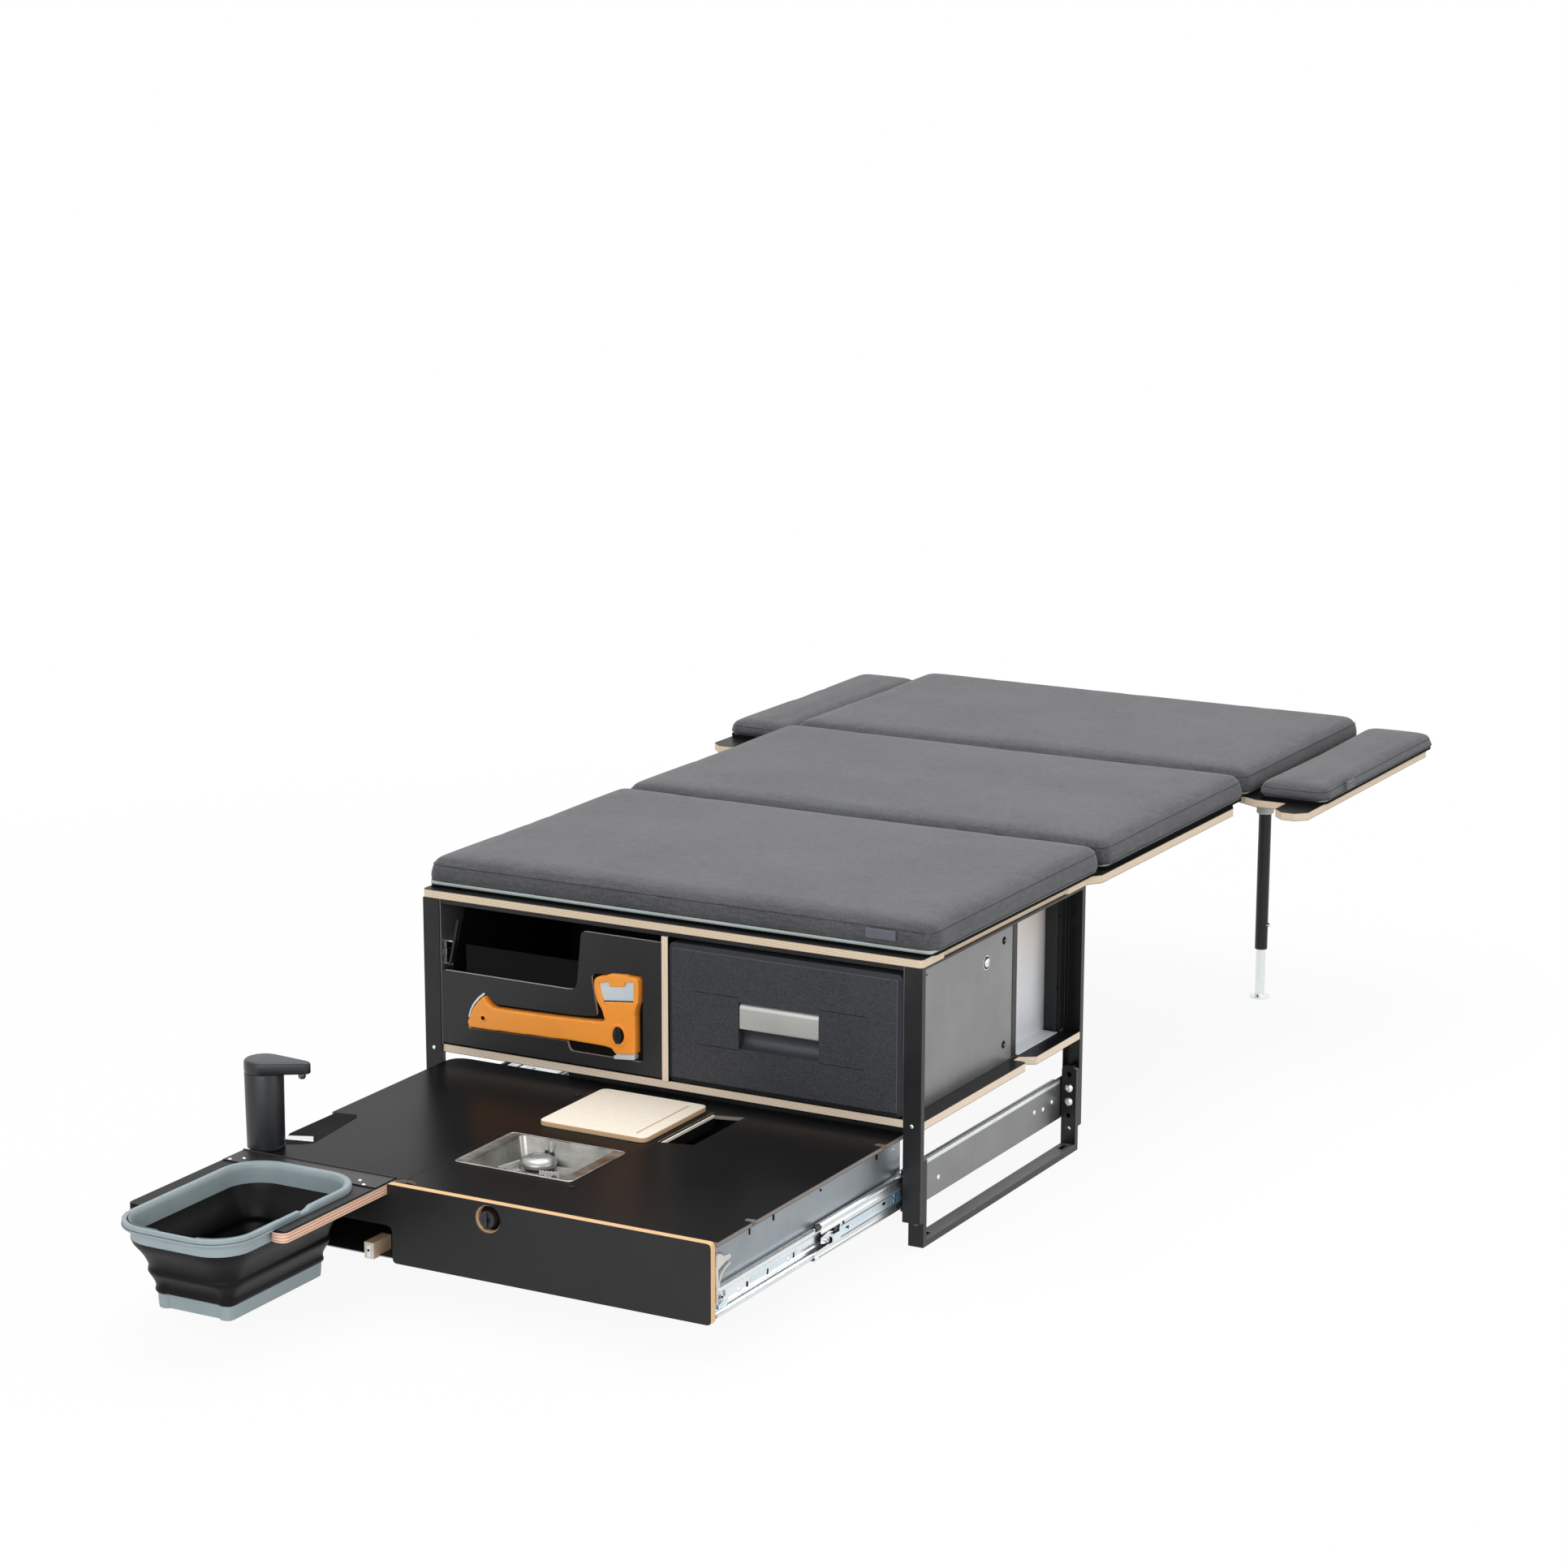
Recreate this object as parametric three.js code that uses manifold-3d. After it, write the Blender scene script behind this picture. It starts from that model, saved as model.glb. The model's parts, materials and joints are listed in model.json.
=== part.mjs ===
// A camping box for the boot of a car: a steel frame that carries a pull-out kitchen, a tool drawer,
// a drawer fridge and a bed that runs out behind it onto two legs.
// Millimetres. X runs to the right, Y to the back and Z up. Sizes are given from the middle of the
// line between the two front feet, and the last group moves the whole box over its own middle.
import * as THREE from "three";
import { mergeVertices } from "three/addons/utils/BufferGeometryUtils.js";
import Module from "manifold-3d";

const wasm = await Module();
wasm.setup();

// Fits and cuts
const seatGap = 0.3;
const runGap = 0.6;
const frontGap = 0.5;
const cutExtra = 4;
const mergeReach = 1e-4;

// Box frame
const boxHalfWidth = 485;
const boxDepth = 630;
const postWidth = 33;
const postDepth = 13;
const postWall = 2;
const postBottom = 44;
const sideRailThickness = 4;
const bracketReach = 3;
const bracketThickness = 5;
const bracketTop = 128;
const bracketCorner = 12;
const topRailFront = 3;
const topRailHeight = 8;
const topRailDepth = 22;
const topRailWall = 2;

// Foot frames, bolted to the posts through one row of holes
const footWidth = 28;
const footDepth = 12;
const footHeight = 157;
const footChamfer = 7;
const footHoleFirst = 40;
const footHolePitch = 25;
const footHoleCount = 5;
const footHoleRadius = 4.5;
const footSlotLength = 24;
const footSlotWidth = 8;
const footSlotInset = 34;

// Plywood boards of the box
const boardThickness = 15;
const boardCorner = 8;
const bedTop = 495;
const topBoardOverhang = 6;
const topBoardEar = 78;
const topBoardEarStep = 5;
const shelfBottom = 204;
const shelfFront = 6;
const shelfNotchStart = 400;
const shelfNotchEnd = 424;
const shelfNotchDepth = 26;
const shelfNotchSlope = 16;
const dividerThickness = 14;
const dividerRight = 8;
const dividerDepth = 600;

// Side panels: a flat front part and a pan set back behind it
const panelSheet = 2;
const panelStep = 424;
const panInset = 27;
const panRear = 595;
const panFlange = 30;
const panFlangeFront = 428;
const panFlangeRear = 587;

// Kitchen drawer runners, three parts nested in each other
const slideBottom = 55;
const slideHeight = 74;
const slideThickness = 19;
const slideSheet = 2;
const slideFront = 15;
const slideLength = 585;
const slideLip = 12;
const slideMidRise = 6;
const slideMidWidth = 12;
const slideInnerRise = 13;
const slideInnerWidth = 11;
const ballRunWidth = 5;
const ballRunLength = 250;
const ballRunEnd = 8;
const slidePlateSheet = 2;
const slidePlateBottom = 57;
const slidePlateTop = 133;
const slidePlateCorner = 10;

// Kitchen drawer
const kitchenPull = 600;
const kitchenFrontInset = 13;
const kitchenFrontThickness = 15;
const kitchenFrontSide = 4;
const kitchenFrontBottom = 59;
const kitchenFrontLeft = -142;
const kitchenBandBottom = 121;
const kitchenCorner = 8;
const kitchenNotchCorner = 11;
const trayRear = 28;
const trayBottom = 60;
const traySheet = 2;
const trayFold = 16;
const traySlotWidth = 2.5;
const traySlotHeight = 10;
const traySlotDrop = 7;
const traySlotShares = [0.188, 0.308, 0.861];
const blockWidth = 18;
const blockHeight = 27;
const blockRight = -178;
const blockLength = 50;

// Kitchen table, three plates side by side
const tableTop = 190;
const tableThickness = 8;
const tableHalf = 445;
const tableRear = 30;
const tableRearCorner = 35;
const tableSeamLeft = -135;
const tableSeamRight = 113;
const tableCutFront = -578;
const tableCutRear = -342;
const tableCutDepth = 71;
const tableCutStep = 50;
const tapPlateLength = 68;
const fingerHalf = 19;
const fingerDepth = 22;
const tableSlotLeft = 119;
const tableSlotRight = 173;
const tableSlotFront = -215;
const tableSlotRear = -30;
const tableSlotSlope = 14;

// Sunk stove
const stoveLeft = -121;
const stoveRight = 101;
const stoveFront = -466;
const stoveRear = -290;
const stoveSheet = 1.5;
const stoveSideFlange = 20;
const stoveEndFlange = 4;
const stoveDepth = 40;
const stoveSlope = 13;
const stoveCorner = 10;
const burnerX = -40;
const burnerY = -338;
const burnerRadius = 30;
const burnerHeight = 17;
const burnerShares = [[1, 0.5], [0.8, 0.9], [0.3, 1], [0, 1]];
const burnerFootRadius = 12;
const burnerFootHeight = 8;
const flamePinRadius = 2.5;
const flamePinHeight = 40;
const panRingOuter = 22;
const panRingInner = 14;
const panRingThickness = 3;
const panBarWidth = 6;
const panArmThickness = 2.5;
const panArmHeight = 15;
const panArchRadius = 6;
const panToothPitch = 5;
const panToothDepth = 1.5;
const leftArmX = -77;
const leftArmY = -367;
const leftArmLength = 50;
const leftArmTurn = 76;
const rightArmX = 2;
const rightArmY = -372;
const rightArmLength = 34;
const rightArmTurn = 15;

// Gas knob in the front panel
const knobX = 40;
const knobZ = 163;
const knobHoleRadius = 24;
const knobRadius = 14;
const knobLength = 19;
const knobGripWidth = 6;
const knobGripHeight = 5;

// Chopping board
const choppingLeft = -105;
const choppingRight = 101;
const choppingFront = -236;
const choppingRear = -27;
const choppingThickness = 9;
const choppingCorner = 15;
const grooveX = 72;
const grooveWidth = 3;
const grooveDepth = 2;
const grooveInset = 20;

// Water tap on its battery base
const tapX = -430;
const tapY = -549;
const tapRadius = 33;
const tapHeight = 150;
const tapHeadHeight = 19;
const tapReach = 60;
const tapTipRadius = 13;
const tapNozzleRadius = 6;
const tapNozzleLength = 12;
const tapTurn = 14;
const tapFootRound = 3;

// Fork that holds the folding bucket
const forkThickness = 18;
const forkLeft = -452;
const forkRight = -150;
const forkRear = -585;
const forkFront = -888;
const forkTipCorner = 14;

// Folding bucket
const bucketLeft = -406;
const bucketRight = -171;
const bucketFront = -1006;
const bucketRear = -630;
const bucketCorner = 70;
const bucketRimHeight = 12;
const bucketBandHeight = 25;
const bucketDepth = 150;
const bucketWall = 3;
const bucketRimWall = 2;
const bucketBandInset = 10;
const bucketBaseInset = 42;
const bucketEndRatioShare = 1.45;
const bucketCornerShare = 0.73;
const bailWidth = 8;
const bailHeight = 7;
const bailSteps = 6;

// Tool drawer with the axe in its front
const toolFrontThickness = 8;
const toolFrontBottom = 223;
const toolFrontLow = 354;
const toolFrontHigh = 460;
const toolHighWidth = 157;
const toolCurveWidth = 21;
const toolCorner = 9;
const toolNotchCorner = 18;
const toolDepth = 392;
const toolSheet = 2;
const toolFloorRise = 5;
const toolWallGap = 9;
const toolSideSlope = 45;
const toolRunnerBottom = 361;
const toolRunnerHeight = 43;
const toolRunnerWidth = 16;
const toolRunnerSheet = 2;
const toolRunnerFront = 15;
const toolRunnerLength = 385;

// Axe, lying on its side
const axeLeftGap = 53.5;
const axeRightGap = 44.5;
const axeBottom = 245;
const axeHeight = 148;
const axeThickness = 22;
const axeProud = 7;
const axeHeadThickness = 12;
const axeKnobInset = 37;
const axeKnobZ = 288;
const axeKnobWidth = 17;
const axeKnobHeight = 26;
const axeKnobDepth = 4;
const axeHoleRadius = 3.5;

// Drawer fridge
const fridgeBottom = 222;
const fridgeTop = 464;
const fridgeFrontThickness = 33;
const fridgeFrontProud = 3;
const fridgeBevel = 6;
const fridgeCorner = 8;
const fridgeRecessLeft = 145;
const fridgeRecessRight = 297;
const fridgeRecessBottom = 297;
const fridgeRecessTop = 378;
const fridgeRecessDepth = 15;
const fridgeHandleBottom = 333;
const fridgeHandleTop = 375;
const fridgeHandleThickness = 4;
const fridgeHandleEar = 4;
const fridgeCabinetInset = 3;
const fridgeCabinetWall = 28;
const fridgeCabinetFront = 31;
const fridgeCabinetRear = 418;
const fridgeEngineRear = 560;
const fridgeEngineInset = 28;
const fridgeEngineTop = 420;
const fridgeBinWall = 3;
const fridgeBinGap = 3;
const fridgeBinTop = 420;
const fridgeBinRear = 380;

// Bed boards behind the box, each placed from the one before it
const midBoardLength = 648.4;
const midBoardPast = 17;
const midBoardFrontInset = 1;
const midBoardChamfer = 24;
const midBoardRearPast = 1;
const midBoardRearSlope = 35;
const headBoardLength = 654.4;
const headBoardInset = 25;
const headBoardCorner = 16;
const wingPast = 178;
const wingRearInset = 5;
const wingFrontInset = 52.4;
const wingInnerStep = 51;
const wingInnerSlope = 26;
const wingTongueWidth = 66;
const wingTongueReach = 20.6;
const wingChamfer = 20;

// Folding legs
const legSideInset = 75;
const legRearInset = 238;
const legRadius = 12.5;
const legBottom = 101;
const legPivotDrop = 30;
const legTopPast = 11;
const legBore = 9.8;
const legBoreDepth = 150;
const legCollarRadius = 15;
const legCollarBottom = 383;
const legCollarHeight = 12;
const legPinRadius = 4;
const legFootTube = 9.5;
const legFootTubeTop = 205;
const legFootRadius = 20.5;
const legFootThickness = 4;
const legEarThickness = 3;
const legEarGap = 15;
const legEarHalf = 13;
const legEarDrop = 50;
const legBaseHalf = 30;
const legBaseThickness = 4;

// Cushions, which reach past the boards' joints
const cushionHeight = 51.7;
const cushionPast = 15;
const cushionHeadPast = 10;
const cushionFront = 18;
const cushionJointOnePast = 48;
const cushionJointTwoPast = 49;
const cushionRearPast = 6;
const cushionSideGap = 1.3;
const cushionCorner = 28;
const cushionCornerLeast = 7;
const cushionRound = 20;
const wingCushionInset = 42;
const wingCushionPast = 14;
const wingCushionFrontInset = 7;
const wingCushionHeight = 33;

// Values that follow from the ones above
const postInner = boxHalfWidth - postWidth;
const boardBottom = bedTop - boardThickness;
const shelfTop = shelfBottom + boardThickness;
const panelInner = postInner - panelSheet;
const panFace = postInner - panInset;
const dividerLeft = dividerRight - dividerThickness;
const kitchenFace = -kitchenPull - kitchenFrontInset;
const kitchenBack = kitchenFace + kitchenFrontThickness;
const tableBottom = tableTop - tableThickness;
const slideInnerFace = postInner - slideThickness;
const kitchenFrontHalf = tableHalf - kitchenFrontSide;
const forkBottom = tableTop - forkThickness;
const kitchenFrontTopLeft = forkRight + runGap;
const bucketTop = tableTop + bucketRimHeight;
const bucketMiddleY = (bucketFront + bucketRear) / 2;
const stoveFloor = tableTop - stoveDepth;
const legPivot = boardBottom - legPivotDrop;
const toolFrontLeft = -panelInner + frontGap;
const toolFrontRight = dividerLeft - frontGap;
const axeLeft = toolFrontLeft + axeLeftGap;
const axeLength = toolFrontRight - axeRightGap - axeLeft;
const axeKnobX = axeLeft + axeLength - axeKnobInset;
const topBoardDepth = boxDepth + topBoardOverhang;
const midBoardFront = topBoardDepth + runGap;
const midBoardRear = midBoardFront + midBoardLength;
const headBoardFront = midBoardRear + runGap;
const headBoardRear = headBoardFront + headBoardLength;
const headBoardHalf = boxHalfWidth - headBoardInset;
const wingRight = headBoardHalf + wingPast;
const wingFront = headBoardFront + wingFrontInset;
const legX = headBoardHalf - legSideInset;
const legY = headBoardRear - legRearInset;
const cushionRear = headBoardRear + cushionRearPast;

// Outline shares of the axe, from its lower left corner, along its length and its height
const axeHandleShares = [
  [0, 0.1, 0.01], [0.008, 0.074, 0.01], [0.64, 0.12, 0], [0.832, 0.112, 0.02], [0.872, 0.088, 0.02],
  [0.872, 0.06, 0], [0.982, 0.06, 0], [0.982, 0.61, 0.03], [0.99, 0.69, 0], [0.79, 0.69, 0],
  [0.81, 0.61, 0.03], [0.812, 0.44, 0.04], [0.62, 0.378, 0.1], [0.17, 0.372, 0.06],
  [0.099, 0.494, 0.02],
];
const axeHeadShares = [
  [0.876, 0, 0.01], [0.982, 0.026, 0.01], [0.978, 0.55, 0.05], [0.988, 0.86, 0.01],
  [0.776, 0.81, 0.01], [0.86, 0.55, 0.05],
];
const axeSheathShares = [
  [0.768, 0.7, 0.02], [1, 0.7, 0.02], [1, 1, 0.03], [0.756, 0.93, 0.03],
];
const axeWindowShares = [
  [-0.004, 0.1, 0.01], [0.004, 0.07, 0.01], [0.585, 0.11, 0], [0.6, 0.0, 0.03], [1.025, 0.0, 0.03],
  [1.025, 1.045, 0.03], [0.725, 0.965, 0.03], [0.762, 0.47, 0.02], [0.63, 0.44, 0], [0.17, 0.42, 0.04],
  [0.099, 0.55, 0.02],
];
const sheathWindowShares = [[0.79, 0.745], [0.975, 0.745], [0.97, 0.94], [0.785, 0.89]];
const sheathStartShare = 0.69;
const axeHoleShares = [0.1, 0.22];
const axeHeadMiddleShare = 0.88;
const axeHeadWidthShare = 0.12;

// Profile shares of the bucket's bellows: how far in from the band to the base, and how far down
const bellowsShares = [
  [0, 0], [0.14, 0.06], [0.72, 0.2], [0.8, 0.27], [0.7, 0.36], [0.74, 0.47], [0.88, 0.55],
  [0.97, 0.66], [0.93, 0.74], [0.84, 0.8], [1, 0.98], [1.08, 1],
];
// Profile shares of a cushion: how far in, of its rounding, and how high, of its height
const crownStartShare = 2.6;
const cushionShares = [
  [0.5, 0], [0.1, 0.1], [0, 0.28], [0.15, 0.5], [0.24, 0.68], [0.42, 0.8], [0.95, 0.9],
  [crownStartShare, 0.955],
];
const cushionCrownShares = [[0.35, 0.985], [0.7, 1]];

// Looks
const steelBlack = { color: 0x202124, roughness: 0.55, metalness: 0.3 };
const panelGrey = { color: 0x3a3c3f, roughness: 0.45, metalness: 0.4 };
const zinc = { color: 0xc4c8cc, roughness: 0.35, metalness: 0.9 };
const blueGrey = { color: 0x8b939a, roughness: 0.4, metalness: 0.7 };
const plywood = { color: 0xe0c9a6, roughness: 0.7, metalness: 0 };
const blackBoard = { color: 0x26272a, roughness: 0.5, metalness: 0 };
const blackPlastic = { color: 0x1c1d1f, roughness: 0.5, metalness: 0 };
const fridgePlastic = { color: 0x232529, roughness: 0.6, metalness: 0 };
const steelBright = { color: 0xb9bab8, roughness: 0.3, metalness: 1 };
const orange = { color: 0xe8831f, roughness: 0.5, metalness: 0 };
const rimGrey = { color: 0x8d999d, roughness: 0.6, metalness: 0 };
const bellowsBlack = { color: 0x242425, roughness: 0.65, metalness: 0 };
const cushionGrey = { color: 0x5b5d60, roughness: 0.95, metalness: 0 };

// A box between two corners
function block(x0, x1, y0, y1, z0, z1) {
  const box = new THREE.BoxGeometry(x1 - x0, y1 - y0, z1 - z0);
  return box.translate((x0 + x1) / 2, (y0 + y1) / 2, (z0 + z1) / 2);
}

// A closed outline through corners of [x, y, radius]
function outline(corners) {
  const shape = new THREE.Shape();
  corners.forEach(([x, y, radius = 0], i) => {
    const here = new THREE.Vector2(x, y);
    const last = corners[(i + corners.length - 1) % corners.length];
    const next = corners[(i + 1) % corners.length];
    const back = new THREE.Vector2(last[0], last[1]).sub(here);
    const ahead = new THREE.Vector2(next[0], next[1]).sub(here);
    const half = Math.abs(back.angleTo(ahead)) / 2;
    const reach = Math.min(radius / Math.tan(half), back.length() / 2, ahead.length() / 2);
    const from = back.setLength(reach).add(here);
    const to = ahead.setLength(reach).add(here);
    if (i === 0) shape.moveTo(from.x, from.y);
    else shape.lineTo(from.x, from.y);
    if (radius > 0) shape.quadraticCurveTo(x, y, to.x, to.y);
  });
  shape.closePath();
  return shape;
}

// An outline that is the same on both sides, from its right-hand corners, front to back
function evenOutline(corners) {
  const left = corners.map(([x, y, radius]) => [-x, y, radius]).reverse();
  return outline([...corners, ...left]);
}

// An outline through corners given as shares of a width and a height
function shareOutline(shares, x, z, width, height) {
  return outline(shares.map(([u, v, r = 0]) => [x + u * width, z + v * height, r * width]));
}

function extrude(shape, depth) {
  return new THREE.ExtrudeGeometry(shape, { depth, bevelEnabled: false, curveSegments: 4 });
}

// Slabs of an outline in XY, in XZ and in YZ
function slabZ(shape, z0, z1) {
  return extrude(shape, z1 - z0).translate(0, 0, z0);
}

function slabY(shape, y0, y1) {
  return extrude(shape, y1 - y0).rotateX(Math.PI / 2).translate(0, y1, 0);
}

function slabX(shape, x0, x1) {
  const turn = new THREE.Matrix4().makeBasis(
    new THREE.Vector3(0, 1, 0),
    new THREE.Vector3(0, 0, 1),
    new THREE.Vector3(1, 0, 0),
  );
  return extrude(shape, x1 - x0).applyMatrix4(turn).translate(x0, 0, 0);
}

// A round bar along X, Y or Z, its place given on the other two axes
function rod(axis, [a, b], radius, from, to, sides = 20) {
  const bar = new THREE.CylinderGeometry(radius, radius, to - from, sides);
  const middle = (from + to) / 2;
  if (axis === "x") return bar.rotateZ(Math.PI / 2).translate(middle, a, b);
  if (axis === "y") return bar.translate(a, middle, b);
  return bar.rotateX(Math.PI / 2).translate(a, b, middle);
}

// The points of a rounded rectangle at one height
function ring(x0, x1, y0, y1, radius, z, steps = 4) {
  const points = [];
  const corners = [[x1, y1, 0], [x0, y1, 1], [x0, y0, 2], [x1, y0, 3]];
  for (const [x, y, turn] of corners) {
    const cx = x === x1 ? x - radius : x + radius;
    const cy = y === y1 ? y - radius : y + radius;
    for (let i = 0; i <= steps; i++) {
      const angle = ((turn + i / steps) * Math.PI) / 2;
      points.push([cx + radius * Math.cos(angle), cy + radius * Math.sin(angle), z]);
    }
  }
  return points;
}

// A skin through rings of equal count, capped at both ends or closed on itself
function loft(rings, closed = false) {
  const count = rings[0].length;
  const points = rings.flat();
  const faces = [];
  const last = closed ? rings.length : rings.length - 1;
  for (let i = 0; i < last; i++) {
    const low = i * count;
    const high = ((i + 1) % rings.length) * count;
    for (let j = 0; j < count; j++) {
      const k = (j + 1) % count;
      faces.push(low + j, low + k, high + k, low + j, high + k, high + j);
    }
  }
  if (!closed) {
    for (const [start, up] of [[0, false], [(rings.length - 1) * count, true]]) {
      const rim = points.slice(start, start + count);
      const middle = [0, 1, 2].map((a) => rim.reduce((sum, p) => sum + p[a], 0) / count);
      points.push(middle);
      for (let j = 0; j < count; j++) {
        const pair = [start + j, start + ((j + 1) % count)];
        if (!up) pair.reverse();
        faces.push(...pair, points.length - 1);
      }
    }
  }
  const geometry = new THREE.BufferGeometry();
  geometry.setAttribute("position", new THREE.Float32BufferAttribute(points.flat(), 3));
  geometry.setIndex(faces);
  return geometry;
}

// Joins and cuts
function toSolid(geometry) {
  const plain = geometry.clone();
  plain.deleteAttribute("normal");
  plain.deleteAttribute("uv");
  const merged = mergeVertices(plain, mergeReach);
  const mesh = new wasm.Mesh({
    numProp: 3,
    vertProperties: new Float32Array(merged.attributes.position.array),
    triVerts: new Uint32Array(merged.index.array),
  });
  return new wasm.Manifold(mesh);
}

function toGeometry(solid) {
  const mesh = solid.getMesh();
  const geometry = new THREE.BufferGeometry();
  geometry.setAttribute("position", new THREE.BufferAttribute(mesh.vertProperties, 3));
  geometry.setIndex(new THREE.BufferAttribute(mesh.triVerts, 1));
  geometry.computeVertexNormals();
  return geometry;
}

function join(...geometries) {
  return toGeometry(geometries.map(toSolid).reduce((whole, next) => whole.add(next)));
}

function cut(geometry, ...tools) {
  return toGeometry(tools.map(toSolid).reduce((left, tool) => left.subtract(tool), toSolid(geometry)));
}

// Meshes
function piece(group, name, geometry, look) {
  const mesh = new THREE.Mesh(geometry, new THREE.MeshStandardMaterial({ name, ...look }));
  mesh.name = name;
  group.add(mesh);
  return mesh;
}

// The right-hand piece and its mirror image
function pair(group, name, geometry, look) {
  piece(group, "right_" + name, geometry, look);
  piece(group, "left_" + name, geometry, look).scale.x = -1;
}

// Frame: two posts a side, the flat rail over them and the bracket that carries the runner
function sideFrame() {
  const post = [
    [postInner, 0], [boxHalfWidth, 0], [boxHalfWidth, postDepth],
    [boxHalfWidth - postWall, postDepth], [boxHalfWidth - postWall, postWall],
    [postInner + postWall, postWall], [postInner + postWall, postDepth], [postInner, postDepth],
  ];
  const rearPost = post.map(([x, y]) => [x, boxDepth - y]);
  const bracket = outline([
    [postInner - bracketReach, postBottom, bracketCorner], [postInner + postWall, postBottom],
    [postInner + postWall, bracketTop], [postInner - bracketReach, bracketTop],
  ]);
  const railBottom = boardBottom - sideRailThickness;
  return join(
    slabZ(outline(post), postBottom, boardBottom),
    slabZ(outline(rearPost), postBottom, boardBottom),
    block(postInner, boxHalfWidth, 0, boxDepth, railBottom, boardBottom),
    slabY(bracket, postDepth - bracketThickness, postDepth),
  );
}

// Ring of angle rails under the top board
function topFrame() {
  const half = panelInner - seatGap;
  const sideOut = panFace - panelSheet - seatGap;
  const sideIn = sideOut - topRailDepth;
  const legBottomZ = boardBottom - topRailHeight;
  const flatBottom = boardBottom - topRailWall;
  const rear = boxDepth - topRailFront;
  return join(
    block(-half, half, topRailFront, topRailFront + topRailWall, legBottomZ, boardBottom),
    block(-half, half, topRailFront, topRailFront + topRailDepth, flatBottom, boardBottom),
    block(-half, half, rear - topRailWall, rear, legBottomZ, boardBottom),
    block(-half, half, rear - topRailDepth, rear, flatBottom, boardBottom),
    block(sideIn, sideOut, topRailFront, rear, flatBottom, boardBottom),
    block(-sideOut, -sideIn, topRailFront, rear, flatBottom, boardBottom),
  );
}

// U-shaped foot frame, with a row of bolt holes in both uprights
function footFrame() {
  const front = postDepth;
  const rear = boxDepth - postDepth;
  const inner = boxHalfWidth - footWidth;
  const holeX = (inner + boxHalfWidth) / 2;
  const side = outline([
    [front, 0], [rear, 0], [rear, footHeight], [rear - footDepth, footHeight],
    [rear - footDepth, footDepth], [front + footDepth, footDepth],
    [front + footDepth, footHeight], [front, footHeight],
  ]);
  const tools = [];
  for (let i = 0; i < footHoleCount; i++) {
    const z = footHoleFirst + i * footHolePitch;
    tools.push(rod("y", [holeX, z], footHoleRadius, -cutExtra, boxDepth + cutExtra, 12));
  }
  for (const y of [front + footSlotInset, rear - footSlotInset]) {
    const half = footSlotLength / 2;
    const width = footSlotWidth / 2;
    tools.push(block(holeX - width, holeX + width, y - half, y + half, -cutExtra, footDepth + cutExtra));
  }
  for (const x of [inner, boxHalfWidth]) {
    const wedge = outline([
      [x - footChamfer, footHeight], [x, footHeight - footChamfer], [x + footChamfer, footHeight],
      [x, footHeight + footChamfer],
    ]);
    tools.push(slabY(wedge, -cutExtra, boxDepth + cutExtra));
  }
  return cut(slabX(side, inner, boxHalfWidth), ...tools);
}

function topBoard() {
  const waist = boxHalfWidth - topBoardEarStep;
  return slabZ(evenOutline([
    [boxHalfWidth, 0, boardCorner], [boxHalfWidth, topBoardEar],
    [waist, topBoardEar + topBoardEarStep], [waist, topBoardDepth - topBoardEar - topBoardEarStep],
    [boxHalfWidth, topBoardDepth - topBoardEar], [boxHalfWidth, topBoardDepth],
  ]), boardBottom, bedTop);
}

function shelfBoard() {
  const notch = boxHalfWidth - shelfNotchDepth;
  const rearPost = boxDepth - postDepth;
  return slabZ(evenOutline([
    [postInner, shelfFront], [postInner, postDepth], [boxHalfWidth, postDepth],
    [boxHalfWidth, shelfNotchStart, boardCorner], [notch, shelfNotchStart], [notch, shelfNotchEnd],
    [boxHalfWidth, shelfNotchEnd + shelfNotchSlope], [boxHalfWidth, rearPost], [postInner, rearPost],
    [postInner, boxDepth - shelfFront],
  ]), shelfBottom, shelfTop);
}

// Board between the two drawers, let in round the rails
function dividerBoard() {
  const railRear = topRailFront + topRailDepth + seatGap;
  const railLow = boardBottom - topRailHeight - seatGap;
  return slabX(outline([
    [0, shelfTop], [dividerDepth, shelfTop], [dividerDepth, boardBottom], [railRear, boardBottom],
    [railRear, railLow], [0, railLow],
  ]), dividerLeft, dividerRight);
}

// Folded sheet: flat beside the drawers, then stepped in to a pan with flanges
function sidePanel() {
  const skin = outline([
    [panelInner, postWall], [postInner, postWall], [postInner, panelStep], [panFace, panelStep],
    [panFace, panRear - panelSheet], [panFace + panFlange, panRear - panelSheet],
    [panFace + panFlange, panRear], [panFace - panelSheet, panRear],
    [panFace - panelSheet, panelStep - panelSheet], [panelInner, panelStep - panelSheet],
  ]);
  const folded = join(
    slabZ(skin, shelfTop, boardBottom),
    block(panFace - panelSheet, panFace + panFlange, panFlangeFront, panFlangeRear, shelfTop, shelfTop + panelSheet),
  );
  const underRail = boardBottom - sideRailThickness - seatGap;
  return cut(folded, block(postInner, boxHalfWidth, panelStep, boxDepth, underRail, boardBottom + cutExtra));
}

function slidePlate() {
  const rear = boxDepth - postDepth;
  return slabX(outline([
    [postDepth, slidePlateBottom, slidePlateCorner], [rear, slidePlateBottom, slidePlateCorner],
    [rear, slidePlateTop], [postDepth, slidePlateTop],
  ]), postInner, postInner + slidePlateSheet);
}

// A C rail along Y: its back stands at x, its open side faces inwards or outwards
function cRail(x, reach, z0, z1, sheet, y0, y1) {
  const inward = reach < 0 ? -sheet : sheet;
  return slabY(outline([
    [x, z0], [x, z1], [x + reach, z1], [x + reach, z1 - sheet], [x + inward, z1 - sheet],
    [x + inward, z0 + sheet], [x + reach, z0 + sheet], [x + reach, z0],
  ]), y0, y1);
}

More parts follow.
